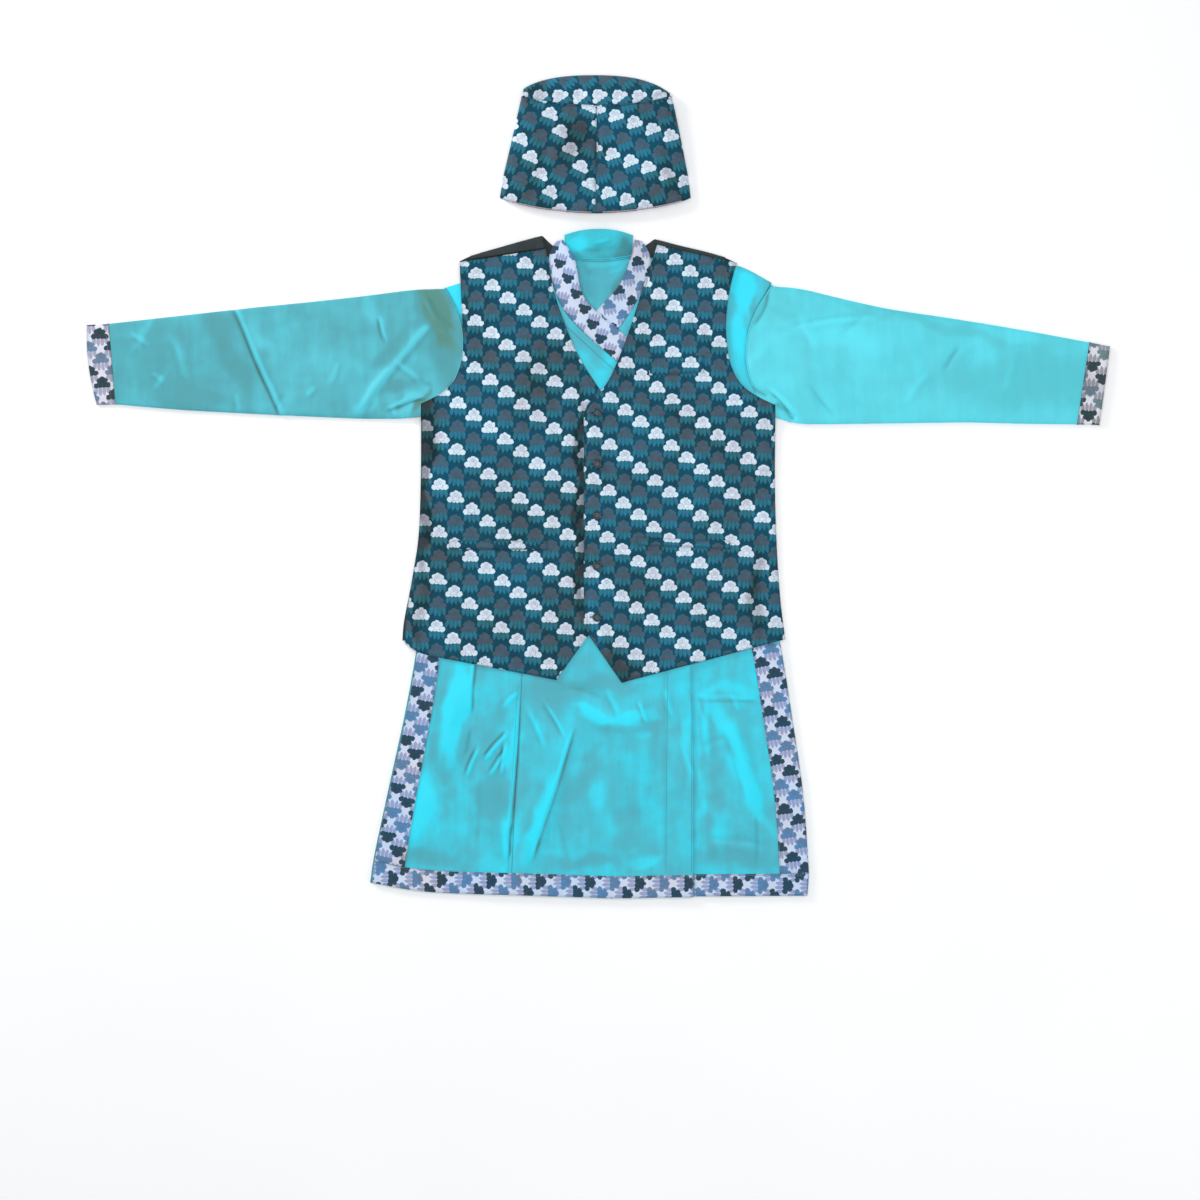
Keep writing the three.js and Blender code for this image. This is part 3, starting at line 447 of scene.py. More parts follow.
def plain_material(finish: Plain) -> bpy.types.Material:
    """Make the material of a plain dyed cloth.

    Args:
        finish: The cloth.

    Returns:
        The material, with painted highlights on crests and in bright spots, and painted shade in creases, in
        dull spots and at edges.
    """
    material, tree, shader = new_material(finish.name)
    x, y, place = Weave.place(tree)
    cloud = Weave.cloud(tree, place, 9.0, 4.0)
    dents = Weave.cloud(tree, place, 34.0, 5.0)
    streak = Weave.cloud(tree, place, 60.0, 5.0, (1.0, 0.16, 1.0))
    fold = Weave.attribute(tree, "fold")
    # Random mottle and streaks, painted crease light (fold), painted light and shade spots (tone), and painted
    # shade at the edges (edge).
    tone = (
        (cloud - 0.5) * (1.1 * finish.mottle)
        + (dents - 0.5) * (0.9 * finish.mottle)
        + (streak - 0.5) * (2.0 * finish.streak)
        + fold * 0.75
        + Weave.attribute(tree, "tone") * 0.6
        + (0.42 + finish.tone)
        - Weave.attribute(tree, "edge") * finish.edge
    )
    # From the dull to the bright tone, then into the painted shade colour where the tone is low.
    colour = tree.mix(tone.step(-0.1, 1.1), linear(*finish.dull), linear(*finish.bright))
    colour = tree.mix(tone.step(0.0, -0.9) * 0.85, colour, linear(*finish.shade))
    # A deeper painted shadow in the feet of the creases.
    colour = tree.mix(fold.step(-0.25, -1.3) * 0.7, colour, toned(finish.shade, 0.5))
    links = {
        "Base Color": colour,
        "Roughness": (cloud - 0.5) * 0.3 + finish.roughness,
        "Normal": Weave.relief(tree, x, y, place, finish.weave),
    }
    fixed = {"Sheen Weight": finish.sheen, "Sheen Roughness": 0.4, "Specular IOR Level": 0.35}
    tree.dress(shader, links, fixed)
    return material


class Flower:
    """The repeated motif: a rose head with two side petals, over hanging leaves.

    Its measures are from the middle of the head. It is the same left and right, so u is the distance from
    its middle line. LOW is how far its leaves hang down.
    """

    LOW = 26.0

    def __init__(self, tree: Tree, finish: Printed, aside: Num, down: Num) -> None:
        """Find where a place lies in the motif of its column.

        Args:
            tree: The material's tree.
            finish: The print.
            aside: Distance from the column's middle line.
            down: Height along the column from a flower of the first kind.
        """
        self.tree = tree
        half = finish.period / 2
        row = ((down + self.LOW * finish.tall) / half).floor()
        self.other = row % 2.0
        self.u = aside / finish.wide
        self.v = (down - row * half) / finish.tall
        heart = self.disc(0.0, 0.6, 6.6)
        crown = self.disc(0.0, 5.3, 4.1)
        cheek = self.disc(4.4, 2.8, 4.2)
        side = self.disc(8.4, -4.3, 4.3)
        chin = self.disc(3.0, -4.6, 3.8)
        self.head = heart.least(crown, cheek, side, chin)
        bud, bowl = self.disc(0.0, 2.4, 2.4), self.disc(0.0, -0.6, 5.2)
        lines = abs(cheek).least(abs(side), abs(bud), abs(bowl))
        self.petals = lines.step(0.75, 0.15) * self.head.step(-0.3, -1.1) * 0.55
        inner = self.leaf(2.9, -12.8, 3.2, 8.2, 0.05)
        outer = self.leaf(8.7, -11.8, 3.2, 7.6, 0.2)
        self.leaves = inner.least(outer)
        self.slits = abs(self.u).least(abs(self.u - 5.8)).step(0.9, 0.3) * 0.45

    def disc(self, across: float, up: float, radius: float) -> Num:
        """Measure how far a place is from the rim of a disc.

        Args:
            across, up: The disc's middle.
            radius: Its radius.

        Returns:
            The distance, below 0 inside the disc.
        """
        du = self.u - across
        dv = self.v - up
        return self.tree.math("SQRT", du * du + dv * dv) - radius

    def leaf(self, across: float, up: float, half: float, tall: float, splay: float) -> Num:
        """Measure how far out of a pointed leaf a place is.

        Args:
            across, up: The leaf's middle.
            half: Half of its width.
            tall: Half of its height.
            splay: How much it leans outwards.

        Returns:
            The distance, below 0 inside the leaf.
        """
        dv = self.v - up
        du = (self.u - across + dv * splay) / half
        dv = dv / tall
        return (abs(du) + dv * dv - 1.0) * half


def printed_material(finish: Printed) -> bpy.types.Material:
    """Make the material of a printed cloth.

    Args:
        finish: The print.

    Returns:
        The material, with a slightly wavering print that is worn in places, painted highlights and shade along
        its creases, and painted shade at its edges and in its dull spots.
    """
    material, tree, shader = new_material(finish.name)
    x, y, place = Weave.place(tree)
    wander, rough = Weave.stray(tree, place, 30.0), Weave.stray(tree, place, 300.0)
    dx, dy = (
        spot - middle + wide * 4.0 + narrow * 2.6
        for spot, middle, wide, narrow in zip((x, y), finish.anchor, wander, rough)
    )
    turn = math.radians(finish.angle)
    across = dx * math.cos(turn) + dy * math.sin(turn)
    along = dy * math.cos(turn) - dx * math.sin(turn)
    column = (across / finish.pitch + 0.5).floor()
    off = across - column * finish.pitch
    down = along + column * (finish.period / 4)
    near = Flower(tree, finish, abs(off), down)
    beside = tree.math("SIGN", off)
    far = Flower(tree, finish, finish.pitch - abs(off), down + beside * (finish.period / 4))

    fold, tone = Weave.attribute(tree, "fold"), Weave.attribute(tree, "tone")
    cloud = Weave.cloud(tree, place, 11.0, 3.0)
    worn = Weave.cloud(tree, place, 110.0, 3.0)
    # The inks drift between warm and cool at random, and the painted light spots push them towards the cool,
    # brighter inks.
    cast = (tone * 0.6 + (cloud - 0.5) * 1.6 + (worn - 0.5) * 1.2 + finish.cast).step(0.0, 1.0)

    def ink(part: str) -> bpy.types.NodeSocket:
        """Mix one of the inks between its warm and its cool kind."""
        return tree.mix(cast, linear(*getattr(finish.warm, part)), linear(*getattr(finish.cool, part)))

    leaf = tree.mix(near.slits, ink("leaf"), ink("ground"))
    colour = tree.mix(near.leaves.least(far.leaves).step(0.35, -0.45), ink("ground"), leaf)
    for flower in (far, near):
        head = tree.mix(flower.other, ink("first"), ink("second"))
        line = tree.mix(flower.other, ink("line"), ink("second_line"))
        head = tree.mix(flower.petals, head, line)
        colour = tree.mix(flower.head.step(0.4, -0.4), colour, head)
    # The painted shade colour for creases, edges and dull spots.
    painted_shade_colour = toned(finish.warm.ground, 0.35)
    # Painted crease light, with some random darkening in places.
    lit = (worn - 0.5) * 0.9 + fold * 0.35 + 0.5
    colour = tree.mix(lit.step(1.0, 0.0) * 0.22, colour, painted_shade_colour)
    # Painted shade along the edges and in the dull spots.
    rim = Weave.attribute(tree, "edge") * 0.3
    colour = tree.mix(rim + tone.step(-0.2, -1.2) * 0.55, colour, painted_shade_colour)
    # Painted shadow in the feet of the creases.
    colour = tree.mix(fold.step(-0.3, -1.3) * 0.8, colour, painted_shade_colour)
    links = {
        "Base Color": colour,
        "Normal": Weave.relief(tree, x, y, place, 0.6),
        "Roughness": (worn - 0.5) * 0.2 + finish.roughness,
    }
    tree.dress(shader, links, {"Sheen Weight": 0.06, "Sheen Roughness": 0.5, "Specular IOR Level": 0.2})
    return material


def thread_material(finish: Thread) -> bpy.types.Material:
    """Make the material of sewing thread.

    Args:
        finish: The thread.

    Returns:
        The material, darker where the thread twists.
    """
    material, tree, shader = new_material(finish.name)
    x, y, _ = Weave.place(tree)
    # Painted shade in the grooves of the twist.
    twist = ((x + y) * (math.tau / 0.5)).sine() * 0.5 + 0.5
    colour = tree.mix(twist, toned(finish.colour, 0.6), linear(*finish.colour))
    tree.dress(shader, {"Base Color": colour}, {"Roughness": 0.6})
    return material


def button_material(finish: Gloss) -> bpy.types.Material:
    """Make the material of a moulded button.

    Args:
        finish: The button's finish.

    Returns:
        The material, faintly clouded and glossy.
    """
    material, tree, shader = new_material(finish.name)
    cloud = Weave.cloud(tree, Weave.place(tree)[2], 240.0, 4.0)
    colour = tree.mix(cloud.step(0.35, 0.75), linear(*finish.colour), toned(finish.colour, 1.7))
    tree.dress(shader, {"Base Color": colour, "Roughness": cloud * 0.2 + 0.22}, {"Coat Weight": 0.3})
    return material


def floor_material() -> bpy.types.Material:
    """Make the pale, nearly even surface that the suit lies on.

    Returns:
        The material, which glows faintly.
    """
    material, tree, shader = new_material("floor")
    cloud = Weave.cloud(tree, Weave.place(tree)[2], 3.0, 2.0)
    colour = tree.mix(cloud, linear(250, 250, 250), linear(255, 255, 255))
    glow = {"Roughness": 0.9, "Emission Color": (1.0, 1.0, 1.0, 1.0), "Emission Strength": 0.07}
    tree.dress(shader, {"Base Color": colour}, glow)
    return material


DARK_COOL = Inks(
    ground=(0, 81, 107),
    leaf=(43, 124, 152),
    first=(224, 245, 255),
    second=(72, 101, 118),
    line=(160, 160, 206),
    second_line=(52, 92, 128),
)
DARK_WARM = Inks(
    ground=(6, 60, 73),
    leaf=(48, 106, 112),
    first=(214, 222, 236),
    second=(78, 84, 92),
    line=(170, 146, 172),
    second_line=(66, 84, 92),
)
PALE_COOL = Inks(
    ground=(208, 226, 252),
    leaf=(150, 168, 212),
    first=(30, 74, 98),
    second=(88, 140, 188),
    line=(18, 50, 72),
    second_line=(76, 118, 164),
)
PALE_WARM = Inks(
    ground=(234, 232, 244),
    leaf=(176, 170, 194),
    first=(46, 68, 74),
    second=(114, 136, 156),
    line=(24, 46, 54),
    second_line=(88, 108, 132),
)
PALE_GREY = Inks(
    ground=(232, 234, 238),
    leaf=(150, 152, 160),
    first=(46, 70, 72),
    second=(118, 142, 144),
    line=(28, 50, 54),
    second_line=(92, 116, 120),
)
# The teal's dull and bright tones stand for the cloth in shade and in light, with painted sheen in the bright
# one; TEAL_SHADE is the painted shade colour.
TEAL_DULL = (68, 176, 192)
TEAL_BRIGHT = (34, 226, 250)
TEAL_SHADE = (70, 142, 140)

TEAL_BODY = Plain("teal_body", TEAL_DULL, TEAL_BRIGHT, TEAL_SHADE, 0.5, 0.3)
# The tunic's back, its right sleeve and its neck are darker copies of the teal with painted shade, and its
# left sleeve a brighter copy with painted light; the back's edges get strong painted shade.
TEAL_BACK_SHADED = Plain("teal_back_shaded", TEAL_DULL, TEAL_BRIGHT, TEAL_SHADE, 0.5, 0.3, tone=-0.1, edge=1.2)
TEAL_RIGHT_SHADED = Plain("teal_right_sleeve_shaded", (72, 160, 170), (84, 204, 220), (80, 138, 124), 0.5, 0.3, mottle=0.7)
TEAL_LEFT_LIT = Plain(
    "teal_left_sleeve_lit", (80, 200, 212), (88, 228, 244), (78, 160, 158), 0.5, 0.3, tone=0.1, mottle=0.7
)
TEAL_NECK_SHADED = Plain(
    "teal_neck_shaded", (46, 180, 196), (30, 224, 246), (50, 134, 142), 0.5, 0.3, tone=-0.12, mottle=0.8
)
DARK_BACK = Plain("dark_back", (32, 40, 40), (58, 68, 68), (16, 20, 20), 0.75, 0.1, mottle=0.6)

DARK = {"cool": DARK_COOL, "warm": DARK_WARM}
VEST_RIGHT = Printed("print_vest_right", anchor=(-115.8, 53.0), angle=-1.2, **DARK)
VEST_LEFT = Printed(
    "print_vest_left", anchor=(39.5, 45.5), angle=-1.2, pitch=23.1, period=69.8, wide=0.98, **DARK
)
WELT_RIGHT = Printed("print_welt_right", anchor=(-119.0, 55.6), angle=-1.2, **DARK)
WELT_LEFT = Printed("print_welt_left", anchor=(43.0, 48.3), angle=-1.2, pitch=23.1, period=69.8, **DARK)
CAP_RIGHT = Printed("print_cap_right", anchor=(-56.3, 531.8), angle=-24.8, pitch=24.6, **DARK)
CAP_LEFT = Printed("print_cap_left", anchor=(74.3, 477.8), angle=17.7, pitch=22.9, wide=0.97, **DARK)
CAP_CROWN = Printed("print_cap_crown", anchor=(-0.2, 584.3), angle=36.7, pitch=23.7, **DARK)

BORDER = {"cool": PALE_COOL, "warm": PALE_WARM, "pitch": 17.6, "period": 74.0, "tall": 0.93, "cast": 0.7}
NECKBAND = {**BORDER, "wide": 0.78, "tall": 0.84}
HEM_PRINT = Printed("print_hem", anchor=(-160.4, -590.5), angle=-91.0, **BORDER)
SIDE_RIGHT_PRINT = Printed("print_side_right", anchor=(-274.4, -401.3), angle=169.5, **BORDER)
SIDE_LEFT_PRINT = Printed("print_side_left", anchor=(267.0, -410.0), angle=9.0, **BORDER)
CUFF_RIGHT = {**BORDER, "cast": 0.2}
CUFF_LEFT = {**BORDER, "cool": PALE_GREY}
CUFF_RIGHT_PRINT = Printed("print_cuff_right", anchor=(-747.8, 229.2), angle=3.0, **CUFF_RIGHT)
CUFF_LEFT_PRINT = Printed("print_cuff_left", anchor=(740.0, 180.0), angle=176.0, **CUFF_LEFT)
COLLAR_RIGHT_PRINT = Printed("print_collar_right", anchor=(-46.0, 310.0), angle=165.0, **NECKBAND)
COLLAR_LEFT_PRINT = Printed("print_collar_left", anchor=(58.0, 337.0), angle=10.0, **NECKBAND)
THREAD_TEAL = Thread("thread_teal", (60, 168, 186))
THREAD_DARK = Thread("thread_dark", (24, 74, 88))
THREAD_PALE = Thread("thread_pale", (170, 178, 200))
BINDING_PALE = Thread("binding_pale", (214, 184, 198))
BUTTON_GLOSS = Gloss("button_gloss", (5, 34, 46))


@dataclass(frozen=True)
class Wardrobe:
    """Makes each material once and hands it out by its finish."""

    made: dict[str, bpy.types.Material] = field(default_factory=dict)

    def get(self, finish: Finish) -> bpy.types.Material:
        """Give the material of a finish.

        Args:
            finish: The finish.

        Returns:
            Its material, made now where no piece has asked for it before.
        """
        makers = {
            Plain: plain_material, Printed: printed_material, Thread: thread_material, Gloss: button_material
        }
        if finish.name not in self.made:
            self.made[finish.name] = makers[type(finish)](finish)
        return self.made[finish.name]


# ---------------------------------------------------------------- folds


class Form(Enum):
    """The kinds of crease in laid cloth."""

    RIDGE = "stands up to a soft crest"
    TROUGH = "sinks to a soft valley"
    STEP = "falls sharply on one side of its crest"


@dataclass(frozen=True)
class Fold:
    """A crease from one end to the other, bowed to its left by bow, that dies out at its ends.

    A step's sharp side is on the right of its way from the first end to the second. ends is the share of
    the length in which it dies out. The painted highlight on its crest and the painted shade at its foot are
    CRISP times its width or LEAST millimetres wide, and are painted at full strength from a height of FULL.
    """

    CRISP = 0.3
    LEAST = 1.9
    FULL = 2.2

    x1: float
    y1: float
    x2: float
    y2: float
    wide: float
    high: float
    form: Form = Form.RIDGE
    bow: float = 0.0
    ends: float = 0.3

    def height(self, x: np.ndarray, y: np.ndarray) -> tuple[np.ndarray, np.ndarray]:
        """Work out the crease's height and the light and shade painted along it.

        Args:
            x, y: The places.

        Returns:
            The height at each place, in millimetres, and its painted light: a highlight above 0 on the crest,
            shade below 0 at its foot.
        """
        dx, dy = self.x2 - self.x1, self.y2 - self.y1
        length = math.hypot(dx, dy)
        along = ((x - self.x1) * dx + (y - self.y1) * dy) / length**2
        within = np.clip(along, 0, 1)
        aside = ((y - self.y1) * dx - (x - self.x1) * dy) / length
        aside = aside - self.bow * 4 * within * (1 - within)
        aside = aside + np.sin(along * 9.0 + self.x1) * 0.12 * self.wide
        taper = smooth(np.minimum(along, 1 - along), 0.0, self.ends)
        width = self.wide * (0.7 + 0.6 * within)
        crisp = max(self.LEAST, self.CRISP * self.wide)
        # crest is a painted highlight and foot a painted shadow beside the crease.
        if self.form is Form.STEP:
            width = np.where(aside > 0, width * 2.2, np.maximum(width * 0.35, 3.0))
            crest = 1.4 * bell(aside - 0.6 * crisp, 1.3 * crisp)
            foot = 0.8 * bell(aside + 1.8 * crisp, 1.6 * crisp)
        elif self.form is Form.TROUGH:
            crest, foot = 0.0, 0.6 * bell(aside, 1.7 * crisp)
        else:
            crest = bell(aside, 2.2 * crisp)
            foot = 0.35 * bell(aside + 3.2 * crisp, 1.6 * crisp)
        strength = min(1.0, self.high / self.FULL)
        rise = -self.high if self.form is Form.TROUGH else self.high
        return taper * bell(aside, width) * rise, taper * strength * (crest - 1.2 * foot)


@dataclass(frozen=True)
class Ripple:
    """Low, uneven waves that cloth keeps when it is smoothed out by hand."""

    length: float
    high: float
    seed: int
    waves: int = 9

    def height(self, x: np.ndarray, y: np.ndarray) -> np.ndarray:
        """Work out the waves' height.

        Args:
            x, y: The places.

        Returns:
            The height at each place, from 0 up to high.
        """
        random = np.random.default_rng(SEED + self.seed)
        total = np.zeros_like(x)
        for _ in range(self.waves):
            angle, phase = random.uniform(0, math.tau, 2)
            wave = math.tau / (self.length * random.uniform(0.6, 1.7))
            total += np.sin((x * math.cos(angle) + y * math.sin(angle)) * wave + phase)
        return self.high * smooth(total / self.waves, -0.45, 0.6)


@dataclass(frozen=True)
class LightSpot:
    """A soft spot of painted light on the cloth, or of painted shade where gain is below 0."""

    x: float
    y: float
    long: float
    short: float
    angle: float
    gain: float

    def tone(self, x: np.ndarray, y: np.ndarray) -> np.ndarray:
        """Work out the spot's strength.

        Args:
            x, y: The places.

        Returns:
            The strength at each place, up to gain.
        """
        turn = math.radians(self.angle)
        along = ((x - self.x) * math.cos(turn) + (y - self.y) * math.sin(turn)) / self.long
        aside = ((y - self.y) * math.cos(turn) - (x - self.x) * math.sin(turn)) / self.short
        return self.gain * np.exp(-((along**2 + aside**2) ** 1.6))


@dataclass(frozen=True)
class Region:
    """A rectangle with soft borders, such as the part of a piece whose creases show."""

    low_x: float = -900.0
    high_x: float = 900.0
    low_y: float = -900.0
    high_y: float = 900.0
    soft: float = 22.0

    def weight(self, x: np.ndarray, y: np.ndarray) -> np.ndarray:
        """Say how far inside the region each place lies.

        Args:
            x, y: The places.

        Returns:
            1 well inside the region and 0 outside it.
        """
        total = smooth(x, self.low_x, self.low_x + self.soft)
        total = total * smooth(-x, -self.high_x, self.soft - self.high_x)
        total = total * smooth(y, self.low_y, self.low_y + self.soft)
        return total * smooth(-y, -self.high_y, self.soft - self.high_y)

    def holds(self, place: Vector) -> bool:
        """Say whether a place, in metres, lies in the region."""
        x, y = place[0] / MM, place[1] / MM
        return self.low_x < x < self.high_x and self.low_y < y < self.high_y


@dataclass(frozen=True)
class Field:
    """All the creases of one layer of cloth, and the spots of light and shade painted on it."""

    folds: tuple[Fold, ...] = ()
    ripples: tuple[Ripple, ...] = ()
    region: Region = Region()
    light_spots: tuple[LightSpot, ...] = ()

    def values(self, x: np.ndarray, y: np.ndarray) -> tuple[np.ndarray, np.ndarray, np.ndarray]:
        """Add up the creases, waves and spots.

        Args:
            x, y: The places.

        Returns:
            At each place the height in millimetres, the light and shade painted along the creases and waves,
            and the painted light and shade of the spots.
        """
        height, painted_fold_light, wave, tone = (np.zeros_like(x) for _ in range(4))
        for fold in self.folds:
            rise, light = fold.height(x, y)
            height, painted_fold_light = height + rise, painted_fold_light + light
        for ripple in self.ripples:
            wave = wave + ripple.height(x, y)
        stray_x = np.sin(y / 17.0 + np.sin(x / 23.0) * 2.0) * 5.0 + np.sin(y / 7.0 + x / 9.0) * 2.0
        stray_y = np.sin(x / 15.0 + np.sin(y / 21.0) * 2.0) * 5.0 + np.sin(x / 6.0 - y / 8.0) * 2.0
        # The spots of painted light and shade, slightly wobbled.
        for light_spot in self.light_spots:
            tone = tone + light_spot.tone(x + stray_x, y + stray_y)
        weight = self.region.weight(x, y)
        # Higher parts of the waves get painted light and lower ones painted shade.
        painted_wave_light = 0.3 * (wave - 0.5 * sum(ripple.high for ripple in self.ripples))
        return (height + wave) * weight, (np.clip(painted_fold_light, -1.5, 1.3) + painted_wave_light) * weight, tone


# Each fold raises the cloth and is painted with a highlight on its crest and shade at its foot.
SKIRT_FOLDS = (
    Fold(-135, -566, -115, -290, 6, 1.7, Form.STEP, bow=2),
    Fold(-104, -570, -35, -356, 6, 3.8, Form.STEP, ends=0.16),
    Fold(-60, -420, -104, -540, 15, 1.6),
    Fold(-135, -366, -174, -410, 4, 2.2, Form.STEP, ends=0.2),
    Fold(-139, -394, -167, -436, 3.5, 1.8, Form.STEP),
    Fold(-116, -304, -150, -338, 3.2, 1.5),
    Fold(-179, -386, -202, -440, 3.4, 1.8, Form.STEP),
    Fold(-194, -346, -187, -252, 5, 2.0, Form.STEP, ends=0.2),
    Fold(-190, -360, -200, -410, 3, 1.4, Form.TROUGH),
    Fold(-138, -378, -148, -436, 4, 1.8, Form.STEP),
    Fold(-204, -268, -236, -436, 20, 2.4),
    Fold(-139, -566, -136, -498, 7, 2.0, Form.STEP),
    Fold(-256, -440, -282, -552, 18, 1.6),
    Fold(-176, -430, -182, -556, 5, 1.2, Form.TROUGH),
    Fold(-88, -312, -46, -382, 4, 1.4, Form.STEP),
    Fold(-107, -328, -76, -398, 4, 1.4),
    Fold(-62, -300, 20, -322, 8, 1.2, Form.TROUGH, bow=4),
    Fold(-40, -330, 78, -352, 14, 1.8, bow=-8),
    Fold(58, -320, 74, -360, 4, 1.3, Form.STEP),
    Fold(72, -380, 64, -520, 14, 0.8),
    Fold(-8, -420, 22, -560, 22, 0.9),
    Fold(-60, -500, -44, -572, 5, 1.0, Form.TROUGH),
    Fold(12, -300, 34, -352, 6, 1.2),
    Fold(98, -300, 112, -352, 5, 1.3),
    Fold(100, -262, 101, -580, 2.4, 0.5, Form.TROUGH, ends=0.05),
)
# Spots of painted light and painted shade on the skirt.
SKIRT_LIGHT_SPOTS = (
    LightSpot(-214, 284, 48, 22, 70, 2.4),
    LightSpot(-26, 214, 60, 12, -45, -0.7),
    LightSpot(18, 196, 40, 7, 55, 0.5),
    LightSpot(-218, -350, 62, 13, 88, 1.2),
    LightSpot(-204, -302, 52, 11, 88, 1.1),
    LightSpot(-256, -462, 45, 13, 80, 0.9),
    LightSpot(-127, -392, 36, 8, 85, 1.1),
    LightSpot(-128, -522, 28, 15, 90, 1.2),
    LightSpot(-94, -520, 48, 11, 70, 1.0),
    LightSpot(-8, -340, 34, 6, -20, 1.1),
    LightSpot(58, -346, 34, 7, 12, 0.9),
    LightSpot(66, -372, 20, 6, 20, 0.4),
    LightSpot(62, -563, 32, 9, 0, 0.8),
    LightSpot(133, -389, 60, 6, 90, 0.7),
    LightSpot(-73, -305, 56, 22, 0, -0.7),
    LightSpot(11, -298, 60, 12, 0, -0.7),
    LightSpot(-262, -556, 50, 13, 0, -0.8),
    LightSpot(-13, -562, 60, 9, 0, -0.7),
    LightSpot(-163, -463, 42, 20, 90, -0.8),
    LightSpot(-226, -430, 60, 10, 86, -0.6),
    LightSpot(92, -390, 60, 11, 90, -0.5),
    LightSpot(-150, -340, 30, 12, 70, -0.6),
    LightSpot(-20, -430, 70, 18, 60, -0.4),
    LightSpot(40, -470, 80, 34, 90, -0.45),
    LightSpot(-300, -330, 90, 20, 75, 0.6),
)
GORE_FOLDS = (
    Fold(144, -316, 240, -319, 4, 1.0, Form.STEP, ends=0.12),
    Fold(190, -340, 246, -496, 13, 2.8),
    Fold(238, -484, 238, -580, 3, 1.3, Form.TROUGH),
    Fold(160, -300, 164, -420, 8, 1.4),
    Fold(152, -392, 196, -370, 4, 1.0, Form.TROUGH),
    Fold(172, -470, 186, -566, 14, 1.3),
    Fold(196, -306, 214, -340, 4, 1.0),
    Fold(150, -524, 262, -536, 6, 1.0, Form.TROUGH),
)
# Spots of painted light and painted shade on the left skirt gore.
GORE_LIGHT_SPOTS = (
    LightSpot(216, 296, 34, 14, -70, 2.2),
    LightSpot(238, 262, 30, 5, -70, -1.0),
    LightSpot(212, 236, 34, 12, -80, 1.6),
    LightSpot(186, -352, 44, 12, -64, 0.8),
    LightSpot(224, -452, 62, 13, -66, 1.1),
    LightSpot(197, -304, 46, 8, 0, 0.6),
    LightSpot(164, -352, 34, 10, 80, -0.5),
    LightSpot(210, -553, 70, 15, -4, -0.9),
    LightSpot(172, -486, 40, 12, 80, -0.5),
    LightSpot(152, -420, 100, 6, 90, 0.5),
)
RIGHT_SLEEVE_FOLDS = (
    Fold(-550, 268, -478, 102, 6, 1.8, Form.TROUGH, ends=0.06),
    Fold(-543, 268, -471, 102, 5, 1.9, ends=0.06),
    Fold(-362, 106, -246, 250, 8, 3.6, bow=5, ends=0.12),
    Fold(-322, 112, -250, 134, 6, 2.6, Form.STEP, bow=5),
    Fold(-256, 300, -204, 226, 7, 2.0, Form.TROUGH, bow=-7),
    Fold(-266, 292, -226, 214, 6, 1.8),
    Fold(-273, 164, -247, 147, 3.4, 1.6, Form.TROUGH),
    Fold(-246, 253, -232, 231, 3.4, 1.6, Form.TROUGH),
    Fold(-308, 192, -256, 150, 4, 1.5),
    Fold(-330, 258, -318, 212, 5, 1.6, Form.STEP),
    Fold(-438, 132, -424, 152, 4, 1.3),
    Fold(-404, 150, -388, 190, 6, 1.0),
    Fold(-542, 144, -539, 108, 4, 1.2),
    Fold(-486, 112, -470, 142, 4, 1.0, Form.TROUGH),
    Fold(-640, 232, -612, 152, 9, 1.0),
    Fold(-704, 232, -670, 210, 5, 1.0),
    Fold(-672, 172, -648, 156, 4, 1.0),
    Fold(-312, 124, -300, 102, 5, 1.2),
)
# Spots of painted light and painted shade on the right sleeve.
RIGHT_SLEEVE_LIGHT_SPOTS = (
    LightSpot(-650, 180, 110, 60, 4, -0.45),
    LightSpot(-244, 264, 54, 22, -62, -2.7),
    LightSpot(-232, 196, 44, 22, 88, -1.0),
    LightSpot(-280, 128, 26, 8, 55, 1.5),
    LightSpot(-334, 138, 40, 8, 50, 1.2),
    LightSpot(-304, 206, 44, 16, 46, -0.8),
    LightSpot(-336, 262, 26, 12, -50, 0.6),
    LightSpot(-552, 196, 66, 15, -66, -0.9),
    LightSpot(-500, 210, 40, 10, -66, 0.5),
    LightSpot(-660, 163, 14, 8, 45, 0.8),
    LightSpot(-683, 227, 26, 8, 70, 0.6),
    LightSpot(-277, 120, 18, 5, 72, 0.8),
    LightSpot(-266, 128, 18, 5, 64, -2.4),
    LightSpot(-300, 150, 26, 9, 28, -0.9),
    LightSpot(-420, 180, 60, 30, 20, 0.4),
    LightSpot(-600, 130, 60, 14, 0, -0.6),
)
LEFT_SLEEVE_FOLDS = (
    Fold(258, 304, 226, 232, 6, 2.2, Form.TROUGH, bow=6),
    Fold(236, 312, 222, 262, 6, 1.6),
    Fold(424, 254, 262, 228, 7, 1.5, bow=-4),
    Fold(404, 262, 362, 226, 6, 1.2, Form.TROUGH),
    Fold(262, 232, 328, 236, 5, 1.2, Form.TROUGH),
    Fold(544, 216, 514, 168, 4, 1.6, Form.TROUGH),
    Fold(202, 163, 256, 134, 5, 2.6, Form.TROUGH, ends=0.12),
    Fold(265, 126, 295, 98, 5, 2.6, Form.TROUGH, ends=0.12),
    Fold(252, 152, 300, 104, 6, 1.9, Form.STEP),
    Fold(312, 158, 358, 96, 6, 1.6, Form.TROUGH),
    Fold(628, 206, 600, 130, 10, 0.9),
    Fold(452, 120, 500, 180, 9, 0.9),
    Fold(300, 262, 330, 200, 10, 1.3),
)
